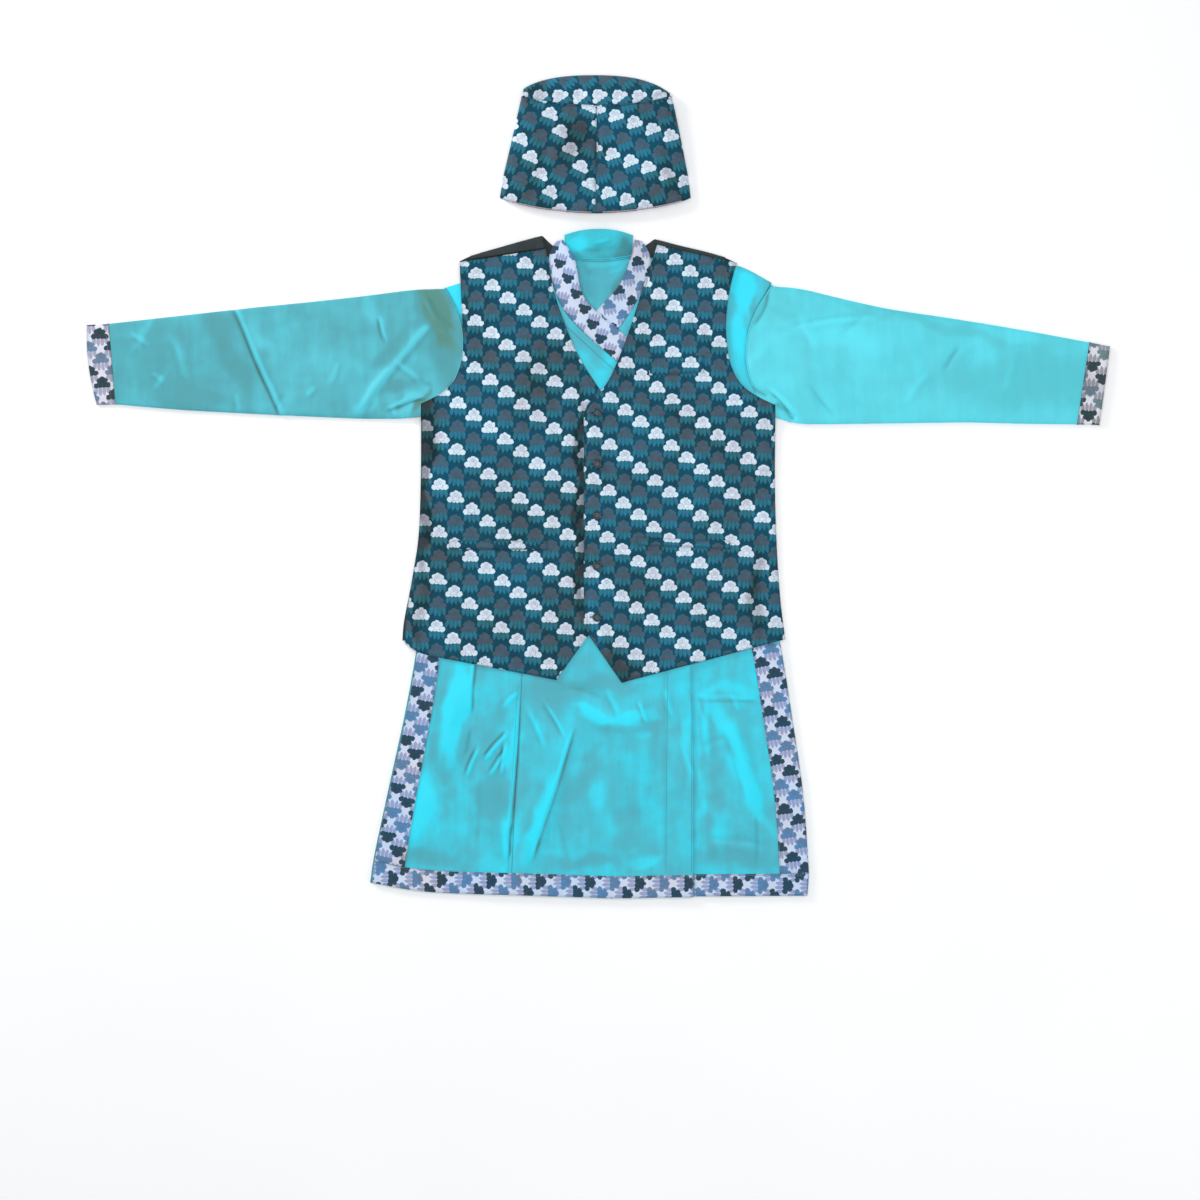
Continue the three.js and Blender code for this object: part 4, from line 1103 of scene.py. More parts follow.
# Spots of painted light and painted shade on the left sleeve.
LEFT_SLEEVE_LIGHT_SPOTS = (
    LightSpot(362, 224, 62, 18, -20, 0.7),
    LightSpot(236, 204, 30, 14, 60, 0.6),
    LightSpot(283, 112, 28, 9, -48, 0.9),
    LightSpot(640, 160, 140, 44, -4, -0.9),
    LightSpot(497, 244, 160, 8, -14, -0.7),
    LightSpot(300, 250, 40, 10, -15, -0.4),
    LightSpot(560, 200, 50, 16, -8, 0.3),
)
VEST_FOLDS = (
    Fold(-176, 318, -150, 60, 26, 1.4, bow=8),
    Fold(-228, 108, -236, -60, 10, 1.2),
    Fold(-96, 60, -88, -70, 20, 1.0),
    Fold(-196, -112, -170, -236, 16, 1.2),
    Fold(-110, -110, -96, -262, 12, 1.0),
    Fold(120, 300, 124, 214, 18, 1.0),
    Fold(172, 150, 140, -50, 22, 1.3, bow=-8),
    Fold(226, 96, 236, -80, 12, 1.1),
    Fold(84, -10, 78, -66, 14, 0.8),
    Fold(196, -112, 160, -240, 16, 1.2),
    Fold(96, -112, 66, -256, 13, 1.0),
)
# Spots of painted light and painted shade on the waistcoat, the first being the painted shadow beside its
# overlapping front edge.
VEST_LIGHT_SPOTS = (
    LightSpot(-27, -40, 165, 9, 90, -1.7),
    LightSpot(-262, 78, 60, 20, 84, -1.9),
    LightSpot(-262, -30, 100, 10, 90, -1.3),
    LightSpot(-268, -200, 60, 11, 86, -0.6),
    LightSpot(-250, 320, 80, 9, 90, -0.5),
    LightSpot(-190, 100, 50, 40, 30, 1.1),
    LightSpot(-230, 30, 30, 16, 80, 1.3),
    LightSpot(-130, -130, 60, 30, 20, 0.7),
    LightSpot(-90, 190, 50, 24, 70, -0.5),
    LightSpot(-4, -190, 60, 10, 90, 1.6),
    LightSpot(60, 60, 60, 30, 60, 0.6),
    LightSpot(30, -272, 40, 14, -50, -0.8),
    LightSpot(236, -160, 80, 14, 90, -0.8),
    LightSpot(120, 180, 60, 40, 30, 0.5),
)
CAP_FOLDS = (
    Fold(-96, 470, -40, 520, 12, 1.4),
    Fold(42, 520, 96, 476, 12, 1.2),
    Fold(-104, 566, -66, 520, 8, 1.3, Form.TROUGH),
    Fold(60, 566, 100, 528, 8, 1.2, Form.TROUGH),
    Fold(-4, 440, -4, 560, 4, 1.1, Form.TROUGH, ends=0.1),
    Fold(18, 556, 40, 540, 4, 1.1),
    Fold(-30, 452, -52, 428, 6, 1.0),
)
# Spots of painted light and painted shade on the cap.
CAP_LIGHT_SPOTS = (
    LightSpot(44, 476, 48, 30, 70, 1.3),
    LightSpot(22, 540, 30, 16, 40, 0.8),
    LightSpot(-40, 520, 40, 24, 60, -0.8),
    LightSpot(-96, 470, 50, 10, 76, -0.5),
    LightSpot(108, 470, 50, 10, -76, -0.6),
    LightSpot(-96, 590, 30, 14, 30, -0.6),
)
COLLAR_FOLDS = (
    Fold(-30, 336, 40, 332, 3, 1.2, Form.TROUGH, bow=1, ends=0.1),
    Fold(-31, 353, 42, 359, 4, 1.2, Form.TROUGH, bow=-2),
    Fold(-10, 362, 20, 371, 5, 0.8, Form.STEP),
)
# Spots of painted light and painted shade on the neck band.
COLLAR_LIGHT_SPOTS = (
    LightSpot(-30, 366, 20, 10, 10, 1.4),
    LightSpot(36, 358, 24, 14, 84, -1.8),
    LightSpot(4, 345, 34, 8, 0, -0.9),
    LightSpot(-34, 345, 16, 5, 84, -0.8),
)
BACK_FOLDS = (
    Fold(-22, 322, 36, 328, 3, 0.8, Form.TROUGH, ends=0.15),
    Fold(-26, 300, -6, 268, 5, 0.7),
)
# Spots of painted light and painted shade on the tunic's back, where it shows inside the neck.
BACK_LIGHT_SPOTS = (
    LightSpot(4, 296, 34, 24, 0, -0.8),
    LightSpot(34, 300, 34, 9, 60, -1.2),
    LightSpot(-24, 286, 34, 7, -65, -1.0),
    LightSpot(6, 322, 34, 5, 0, -0.6),
)

SKIRT = Field(SKIRT_FOLDS, (Ripple(120, 0.8, 1), Ripple(38, 0.35, 2)), Region(high_y=-238), SKIRT_LIGHT_SPOTS)
GORE_SEEN = Region(low_x=140, high_y=-238, soft=14)
GORE = Field(GORE_FOLDS, (Ripple(110, 0.8, 3), Ripple(36, 0.35, 4)), GORE_SEEN, GORE_LIGHT_SPOTS)
RIGHT_SLEEVE = Field(
    RIGHT_SLEEVE_FOLDS, (Ripple(110, 0.9, 5), Ripple(34, 0.35, 6)), light_spots=RIGHT_SLEEVE_LIGHT_SPOTS
)
LEFT_SLEEVE = Field(
    LEFT_SLEEVE_FOLDS, (Ripple(120, 0.8, 7), Ripple(38, 0.25, 8)), light_spots=LEFT_SLEEVE_LIGHT_SPOTS
)
VEST = Field(VEST_FOLDS, (Ripple(130, 0.7, 9), Ripple(42, 0.25, 10)), light_spots=VEST_LIGHT_SPOTS)
VEST_LIP = Fold(-14, 150, -14, -230, 15, 1.3, ends=0.12)
VEST_OVERLAP = Field((*VEST_FOLDS, VEST_LIP), VEST.ripples, light_spots=VEST_LIGHT_SPOTS[5:])
CAP = Field(CAP_FOLDS, (Ripple(70, 0.9, 11), Ripple(24, 0.3, 12)), light_spots=CAP_LIGHT_SPOTS)
COLLAR = Field(COLLAR_FOLDS, (Ripple(40, 0.5, 13),), light_spots=COLLAR_LIGHT_SPOTS)
BACK = Field(BACK_FOLDS, light_spots=BACK_LIGHT_SPOTS)
STILL = Field()

# ---------------------------------------------------------------- shells


class Side(Enum):
    """Which faces of a solid are the cloth's face."""

    TOP = "those that look up"
    OUTSIDE = "those that nothing of the solid covers"


@dataclass(frozen=True)
class Cut:
    """One piece of cloth: the nodes it stands for, its finish and how its form is made finer.

    flat is the piece's width and length as it is cut, in millimetres. In the region close, whose creases
    show best, each side of a face is divided into the given number of parts more.
    """

    name: str
    nodes: tuple[str, ...]
    finish: Plain | Printed
    slot: str
    flat: tuple[float, float]
    rests_on: tuple[str, ...]
    field: Field = STILL
    side: Side = Side.TOP
    levels: int = 2
    thick: float = 1.0
    edge: float = 2.4
    facing: tuple[float, float, float] = (0.0, 0.0, 1.0)
    held: str = "laid"
    close: Region | None = None
    parts: int = 3


@dataclass
class Shell:
    """A thin piece of cloth made on the faces of its solid.

    LOOKS and UNDER are how much a face must look the cloth's way and up to be its face. MERGE joins the
    solid's points, in metres, and CLEAR is how far off a face a look along its normal starts. BEND and SKEW
    are how unlike a flat square two triangles may be that are joined to one face. CORNER is the turn of the
    outline that counts as a corner, and LEVEL tells a flat corner from the turn of a fold. UPPER is where
    creases fade out round a tube, by the normal's height. ROLL is how far in from its border the cloth is
    rolled down, and DROP how far. FLOOR is the least height of an underside.
    """

    cut: Cut
    wardrobe: Wardrobe
    area: float = 0.0
    edges: list[list[int]] = field(default_factory=list)
    rims: list[np.ndarray] = field(default_factory=list)
    piece: bpy.types.Object | None = None

    LOOKS = 0.3
    UNDER = -0.1
    MERGE = 2e-6
    CLEAR = 2e-5
    BEND = math.radians(50)
    SKEW = math.radians(60)
    CORNER = math.radians(32)
    LEVEL = 0.5
    UPPER = (0.1, 0.8)
    SMOOTHINGS = 3
    ROLL = 2.6
    DROP = 0.35
    FLOOR = 0.02

    def sheet(self) -> bmesh.types.BMesh:
        """Take the cloth's face from the solids.

        Returns:
            An open sheet of four-sided faces, with a narrow row of them along its border.
        """
        sheet = bmesh.new()
        for name in self.cut.nodes:
            sheet.from_mesh(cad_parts[name].data)
        bmesh.ops.remove_doubles(sheet, verts=sheet.verts, dist=self.MERGE)
        sheet.normal_update()
        top = self.cut.side is Side.TOP
        kept = self.top(sheet) if top else self.outside(sheet)
        bmesh.ops.delete(sheet, geom=[f for f in sheet.faces if f not in kept], context="FACES")
        limits = {"angle_face_threshold": self.BEND, "angle_shape_threshold": self.SKEW}
        bmesh.ops.join_triangles(sheet, faces=sheet.faces, **limits)
        sheet.normal_update()
        row = {"thickness": self.cut.edge * MM, "use_boundary": True, "use_even_offset": top}
        bmesh.ops.inset_region(sheet, faces=sheet.faces, **row)
        self.keep_corners(sheet)
        return sheet

    def top(self, sheet: bmesh.types.BMesh) -> set[bmesh.types.BMFace]:
        """Pick the faces that look the way the cloth faces.

        Args:
            sheet: The whole solid.

        Returns:
            The faces.
        """
        facing = Vector(self.cut.facing).normalized()
        looks = [face for face in sheet.faces if face.normal.dot(facing) > self.LOOKS]
        return {face for face in looks if face.normal.z > self.UNDER}

    def outside(self, sheet: bmesh.types.BMesh) -> set[bmesh.types.BMFace]:
        """Pick the faces of a tube's or a fold's outer wall.

        Args:
            sheet: The whole wall, inside and outside.

        Returns:
            The faces none of whose points lies on the inner wall.
        """
        tree = BVHTree.FromBMesh(sheet)
        inner = set()
        for face in sheet.faces:
            start = face.calc_center_median() + face.normal * self.CLEAR
            if tree.ray_cast(start, face.normal)[0] is not None:
                inner.update(face.verts)
        return {face for face in sheet.faces if not any(vert in inner for vert in face.verts)}

    def keep_corners(self, sheet: bmesh.types.BMesh) -> None:
        """Mark the outline's corners, so that they stay when the outline is smoothed.

        The turns of a folded piece, where its layers meet, are no corners and stay soft.

        Args:
            sheet: The sheet.
        """
        corner = sheet.verts.layers.float.new("crease_vert")
        for vert in sheet.verts:
            border = [edge for edge in vert.link_edges if edge.is_boundary]
            if len(border) != 2:
                continue
            ways = [(edge.other_vert(vert).co - vert.co).normalized() for edge in border]
            level = min(face.normal.dot(vert.link_faces[0].normal) for face in vert.link_faces)
            turned = self.cut.held == "folded" and level < self.LEVEL
            if ways[0].angle(-ways[1]) > self.CORNER and not turned:
                vert[corner] = 1.0

    def finer(self, sheet: bmesh.types.BMesh) -> bpy.types.Mesh:
        """Subdivide the sheet smoothly, and its close region once more.

        Args:
            sheet: The sheet, which is used up.

        Returns:
            The finer mesh.
        """
        mesh = bpy.data.meshes.new(self.cut.name)
        sheet.to_mesh(mesh)
        sheet.free()
        holder = placed(self.cut.name + "_form", mesh)
        modifier = holder.modifiers.new("finer", "SUBSURF")
        modifier.levels = modifier.render_levels = self.cut.levels
        mesh = baked(holder, self.cut.name)
        if self.cut.close is not None:
            self.divide(mesh, self.cut.close)
        return mesh

    def divide(self, mesh: bpy.types.Mesh, close: Region) -> None:
        """Divide the upward faces of a region into smaller ones, and even them out.

        Args:
            mesh: The mesh.
            close: The region.
        """
        form = bmesh.new()
        form.from_mesh(mesh)
        near = [f for f in form.faces if f.normal.z > 0.2 and close.holds(f.calc_center_median())]
        edges = list({edge for face in near for edge in face.edges})
        made = bmesh.ops.subdivide_edges(form, edges=edges, cuts=self.cut.parts - 1, use_grid_fill=True)
        inner = [g for g in made["geom_inner"] if isinstance(g, bmesh.types.BMVert) and not g.is_boundary]
        upright = {"use_axis_x": False, "use_axis_y": False, "use_axis_z": True}
        for _ in range(self.SMOOTHINGS):
            bmesh.ops.smooth_vert(form, verts=inner, factor=0.5, **upright)
        form.to_mesh(mesh)
        form.free()

    def crease(self, mesh: bpy.types.Mesh) -> None:
        """Lay the creases into the sheet and keep the light and shade painted on each place.

        Args:
            mesh: The fine mesh, which gets the attributes fold (painted crease light), edge (nearness to the
                border, for painted edge shade) and tone (painted light and shade spots).
        """
        count = len(mesh.vertices)
        places = np.empty(count * 3)
        mesh.vertices.foreach_get("co", places)
        places = places.reshape(-1, 3)
        height, painted_fold_light, tone = self.cut.field.values(places[:, 0] / MM, places[:, 1] / MM)
        if self.cut.side is Side.OUTSIDE:
            normals = np.empty(count * 3)
            mesh.vertices.foreach_get("normal", normals)
            upper = smooth(normals.reshape(-1, 3)[:, 2], *self.UPPER)
            height, painted_fold_light = height * upper, painted_fold_light * upper
        border = self.border_share(mesh, places)
        places[:, 2] += (height - self.DROP * border) * MM
        mesh.vertices.foreach_set("co", places.ravel())
        self.rims = [places[line] for line in self.edges]
        # fold is painted crease light, edge the nearness to the border for painted edge shade, and tone the
        # painted light and shade spots.
        for name, values in (("fold", painted_fold_light), ("edge", border), ("tone", tone)):
            mesh.attributes.new(name, "FLOAT", "POINT").data.foreach_set("value", values.astype(np.float32))
        mesh.update()

    def border_share(self, mesh: bpy.types.Mesh, places: np.ndarray) -> np.ndarray:
        """Find the sheet's border, and keep its lines of points.

        Args:
            mesh: The fine mesh.
            places: Its points.

        Returns:
            1 for points on the border and less inside it.
        """
        form = bmesh.new()
        form.from_mesh(mesh)
        ahead = {
            vert.index: [edge.other_vert(vert).index for edge in vert.link_edges if edge.is_boundary]
            for vert in form.verts
            if vert.is_boundary
        }
        form.free()
        near = KDTree(len(ahead))
        for index in ahead:
            near.insert(places[index], index)
        near.balance()
        distance = np.array([near.find(place)[2] for place in places]) / MM
        while ahead:
            start, (follow, *_) = next(iter(ahead.items()))
            line = [start]
            while follow in ahead:
                line.append(follow)
                ways = ahead.pop(follow)
                follow = next((way for way in ways if way in ahead and way != start), None)
            ahead.pop(start, None)
            self.edges.append(line)
        return bell(distance, self.ROLL)

    def lie_flat(self, mesh: bpy.types.Mesh) -> None:
        """Press whatever would dip below the surface flat on to it.

        Args:
            mesh: The finished mesh.
        """
        places = np.empty(len(mesh.vertices) * 3)
        mesh.vertices.foreach_get("co", places)
        places[2::3] = np.maximum(places[2::3], self.FLOOR * MM)
        mesh.vertices.foreach_set("co", places)
        mesh.update()

    def build(self) -> None:
        """Make the piece, give it its thickness and finish, and put it in its nodes' place."""
        cut = self.cut
        mesh = self.finer(self.sheet())
        self.area = sum(face.area for face in mesh.polygons)
        self.crease(mesh)
        holder = placed(cut.name + "_sheet", mesh)
        modifier = holder.modifiers.new("thick", "SOLIDIFY")
        modifier.thickness = cut.thick * MM
        modifier.offset = -1
        thick = baked(holder, cut.name)
        self.lie_flat(thick)
        thick.materials.clear()
        thick.materials.append(self.wardrobe.get(cut.finish))
        for face in thick.polygons:
            face.use_smooth = True
            face.material_index = 0
        self.piece = placed(cut.name, thick)
        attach(self.piece, "root")
        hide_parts(*cut.nodes)
        LOG.info("%s: %d faces, %.4f m2", cut.name, len(thick.polygons), self.area)

    def declare(self) -> None:
        """Work out the sheet's size as cut and its area, and keep neither."""
        flat = (self.cut.flat[0] * MM, self.cut.flat[1] * MM)
        area = min(self.area, flat[0] * flat[1])


# ---------------------------------------------------------------- repeated details


def geometry_tree(name: str, inputs: dict[str, tuple[str, object]]) -> bpy.types.NodeTree:
    """Make a geometry node group with named inputs.

    Args:
        name: The group's name.
        inputs: For each input, its socket type and its value.

    Returns:
        The group.
    """
    group = bpy.data.node_groups.new(name, "GeometryNodeTree")
    for way in ("INPUT", "OUTPUT"):
        group.interface.new_socket("Geometry", in_out=way, socket_type="NodeSocketGeometry")
    for label, (kind, value) in inputs.items():
        socket = group.interface.new_socket(label, in_out="INPUT", socket_type=kind)
        if value is not None:
            socket.default_value = value
    return group


def finish_tree(tree: Tree, made: bpy.types.NodeSocket, material: bpy.types.NodeSocket) -> None:
    """End a geometry node group.

    Args:
        tree: The group's tree.
        made: The geometry, whose instances are made real.
        material: Its material.
    """
    real = tree.node("GeometryNodeRealizeInstances", inputs={0: made}).outputs[0]
    done = tree.node("GeometryNodeSetMaterial", inputs={"Geometry": real, "Material": material}).outputs[0]
    tree.node("NodeGroupOutput", inputs={"Geometry": done})


def stitch_tree() -> bpy.types.NodeTree:
    """Make the group that sews a row of stitches along the edges it is given.

    Returns:
        The group.
    """
    inputs = {
        "Spacing": ("NodeSocketFloat", 0.0032),
        "Length": ("NodeSocketFloat", 0.0022),
        "Radius": ("NodeSocketFloat", 0.00024),
        "Thread": ("NodeSocketMaterial", None),
    }
    group = geometry_tree("stitch_row", inputs)
    tree = Tree(group)
    source = tree.node("NodeGroupInput").outputs
    curve = tree.node("GeometryNodeMeshToCurve", inputs={0: source["Geometry"]}).outputs[0]
    places = {"Curve": curve, "Length": source["Spacing"]}
    spaced = tree.node("GeometryNodeResampleCurve", {"mode": "LENGTH"}, places).outputs[0]
    tangent = tree.node("GeometryNodeInputTangent").outputs[0]
    turned = tree.node("FunctionNodeAlignRotationToVector", {"axis": "Z"}, {"Vector": tangent}).outputs[0]
    sizes = {"Vertices": 6, "Radius": source["Radius"], "Depth": source["Length"]}
    rod = tree.node("GeometryNodeMeshCylinder", {"fill_type": "NGON"}, sizes).outputs[0]
    row = {"Points": spaced, "Instance": rod, "Rotation": turned}
    laid = tree.node("GeometryNodeInstanceOnPoints", inputs=row).outputs[0]
    finish_tree(tree, laid, source["Thread"])
    return group


def button_tree() -> bpy.types.NodeTree:
    """Make the group that sets a button on each point it is given, each turned a little further.

    Returns:
        The group.
    """
    inputs = {
        "Button": ("NodeSocketObject", None),
        "Turn": ("NodeSocketFloat", 1.9),
        "First turn": ("NodeSocketFloat", 0.4),
        "Material": ("NodeSocketMaterial", None),
    }
    group = geometry_tree("button_row", inputs)
    tree = Tree(group)
    source = tree.node("NodeGroupInput").outputs
    info = tree.node("GeometryNodeObjectInfo", inputs={"Object": source["Button"]}).outputs["Geometry"]
    index = Num(tree, tree.node("GeometryNodeInputIndex").outputs[0])
    spin = index * Num(tree, source["Turn"]) + Num(tree, source["First turn"])
    turn = tree.node("ShaderNodeCombineXYZ", inputs={2: spin}).outputs[0]
    row = {"Points": source["Geometry"], "Instance": info, "Rotation": turn}
    laid = tree.node("GeometryNodeInstanceOnPoints", inputs=row).outputs[0]
    finish_tree(tree, laid, source["Material"])
    return group


def piping_tree() -> bpy.types.NodeTree:
    """Make the group that lays a narrow piping along the edges it is given.

    Returns:
        The group.
    """
    inputs = {"Radius": ("NodeSocketFloat", 0.0005), "Cloth": ("NodeSocketMaterial", None)}
    group = geometry_tree("piping", inputs)
    tree = Tree(group)
    source = tree.node("NodeGroupInput").outputs
    curve = tree.node("GeometryNodeMeshToCurve", inputs={0: source["Geometry"]}).outputs[0]
    ring = tree.node("GeometryNodeCurvePrimitiveCircle", inputs={"Resolution": 6, "Radius": source["Radius"]})
    path = {"Curve": curve, "Profile Curve": ring.outputs[0], "Fill Caps": True}
    tube = tree.node("GeometryNodeCurveToMesh", inputs=path).outputs[0]
    finish_tree(tree, tube, source["Cloth"])
    return group


def kept_tree(name: str, make: Callable[[], bpy.types.NodeTree]) -> bpy.types.NodeTree:
    """Give a geometry node group by its name, made now where it isn't there yet."""
    return bpy.data.node_groups.get(name) or make()


def wire(name: str, paths: list[np.ndarray]) -> bpy.types.Object:
    """Make an object of plain edges along some paths.

    Args:
        name: The object's name.
        paths: The paths, each an array of places in metres.

    Returns:
        The object.
    """
    points: list[tuple[float, ...]] = []
    edges: list[tuple[int, int]] = []
    for path in paths:
        start = len(points)
        points += [tuple(p) for p in path]
        edges += [(start + i, start + i + 1) for i in range(len(path) - 1)]
    mesh = bpy.data.meshes.new(name)
    mesh.from_pydata(points, edges, [])
    return placed(name, mesh)


def grown(
    paths: list[np.ndarray], group: bpy.types.NodeTree, values: dict[str, object], name: str
) -> bpy.types.Object:
    """Run a geometry node group along some paths and keep the result as a plain mesh.

    Args:
        paths: The paths, in metres.
        group: The group.
        values: The group's inputs by their names.
        name: The piece's name.

    Returns:
        The piece.
    """
    holder = wire(name + "_path", paths)
    modifier = holder.modifiers.new(name, "NODES")
    modifier.node_group = group
    for item in group.interface.items_tree:
        if item.in_out == "INPUT" and item.name in values:
            modifier[item.identifier] = values[item.name]
    piece = placed(name, baked(holder, name))
    for face in piece.data.polygons:
        face.use_smooth = True
    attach(piece, "root")
    return piece


@dataclass(frozen=True)
class Stitch:
    """One kind of stitch: how far apart, how long and how thick, in metres."""

    spacing: float
    length: float
    radius: float


RUNNING = Stitch(0.0032, 0.0022, 0.00024)
CROSS = Stitch(0.0045, 0.0036, 0.0004)
BUTTONHOLE = Stitch(0.0009, 0.0008, 0.00045)


@dataclass(frozen=True)
class Row:
    """A row of stitches: the piece it is sewn on and its path from above."""

    on: str
    path: tuple[tuple[float, float], ...]


@dataclass(frozen=True)
class Stitching:
    """Rows of stitches that are sewn with one thread and kept as one piece."""

    name: str
    rows: tuple[Row, ...]
    thread: Thread
    slot: str
    stitch: Stitch = RUNNING


@dataclass
class Sewing:
    """Lays stitches on the finished pieces, in steps of a given length along their rows.

    ABOVE is a height over all the cloth, in metres, from which its top is felt for.
    """

    pieces: dict[str, bpy.types.Object]
    wardrobe: Wardrobe
    step: float = 4.0
    trees: dict[str, BVHTree] = field(default_factory=dict)

    ABOVE = 0.1

    def height(self, on: str, x: float, y: float) -> float | None:
        """Find the top of a piece.

        Args:
            on: The piece's name.
            x, y: The place.

        Returns:
            The height in metres, or None beside the piece.
        """
        if on not in self.trees:
            mesh = self.pieces[on].data
            faces = [tuple(face.vertices) for face in mesh.polygons]
            self.trees[on] = BVHTree.FromPolygons([vert.co for vert in mesh.vertices], faces)
        hit = self.trees[on].ray_cast(Vector((x * MM, y * MM, self.ABOVE)), Vector((0, 0, -1)))
        return None if hit[0] is None else hit[0].z

    def lay(self, row: Row) -> list[np.ndarray]:
        """Lay a row's path on its piece.

        Args:
            row: The row.

        Returns:
            The path in short steps just above the cloth, or nothing where it misses the piece.
        """
        points: list[tuple[float, float, float]] = []
        for (x1, y1), (x2, y2) in zip(row.path, row.path[1:]):
            steps = max(1, round(math.hypot(x2 - x1, y2 - y1) / self.step))
            for share in np.linspace(0.0, 1.0, steps + 1)[: None if (x2, y2) == row.path[-1] else -1]:
                x, y = x1 + (x2 - x1) * share, y1 + (y2 - y1) * share
                z = self.height(row.on, x, y)
                if z is not None:
                    points.append((x * MM, y * MM, z + LIFT))
        return [np.array(points)] if len(points) > 1 else []

    def stitch(self, name: str, paths: list[np.ndarray], stitch: Stitch, thread: Thread, slot: str) -> None:
        """Sew stitches along some paths, as one piece.

        Args:
            name: The piece's name.
            paths: The paths, in metres.
            stitch: The kind of stitch.
            thread: Its thread.
            slot: Not used.
        """
        values = {"Spacing": stitch.spacing, "Length": stitch.length, "Radius": stitch.radius}
        values["Thread"] = self.wardrobe.get(thread)
        piece = grown(paths, kept_tree("stitch_row", stitch_tree), values, name)
        LOG.info("%s: %d rows, %d faces", name, len(paths), len(piece.data.polygons))

    def sew(self, work: Stitching) -> None:
        """Sew some rows of stitches."""
        paths = [path for row in work.rows for path in self.lay(row)]
        self.stitch(work.name, paths, work.stitch, work.thread, work.slot)


@dataclass(frozen=True)
class Seam:
    """A pressed seam or a binding along the part of a piece's edge that lies in a region.

    It follows the edge's upper half, or all of it where low is set, in the piece's own cloth or in another.
    A stretch of no more than SHORT points is left out.
    """

    name: str
    on: str
    part: Region
    radius: float
    slot: str
    low: bool = False
    cloth: Finish | None = None

    SHORT = 3

    def paths(self, rims: list[np.ndarray]) -> list[np.ndarray]:
        """Pick the stretches of a piece's edges that the seam covers.

        Args:
            rims: The edges, each a closed line of places.

        Returns:
            The stretches, just above the cloth.
        """
        found = []
        for rim in rims:
            middle = (rim[:, 2].min() + rim[:, 2].max()) / 2
            inside = [self.part.holds(Vector(p)) and (self.low or p[2] > middle) for p in rim]
            if not any(inside):
                continue
            first = next((i for i in range(len(rim)) if inside[i] and not inside[i - 1]), 0)
            stretch = []
            for i in range(len(rim)):
                j = (first + i) % len(rim)
                if inside[j]:
                    stretch.append(rim[j] + np.array((0.0, 0.0, LIFT)))
                elif stretch:
                    found.append(np.array(stretch))
                    stretch = []
            if stretch:
                found.append(np.array(stretch))
        return [path for path in found if len(path) > self.SHORT]

    def build(self, shell: Shell, wardrobe: Wardrobe) -> None:
        """Lay the seam.

        Args:
            shell: The piece that it is on.
            wardrobe: Where its material comes from.
        """
        paths = self.paths(shell.rims)
        values = {"Radius": self.radius * MM, "Cloth": wardrobe.get(self.cloth or shell.cut.finish)}
        piece = grown(paths, kept_tree("piping", piping_tree), values, self.name)
        LOG.info("%s: %d stretches, %d faces", self.name, len(paths), len(piece.data.polygons))


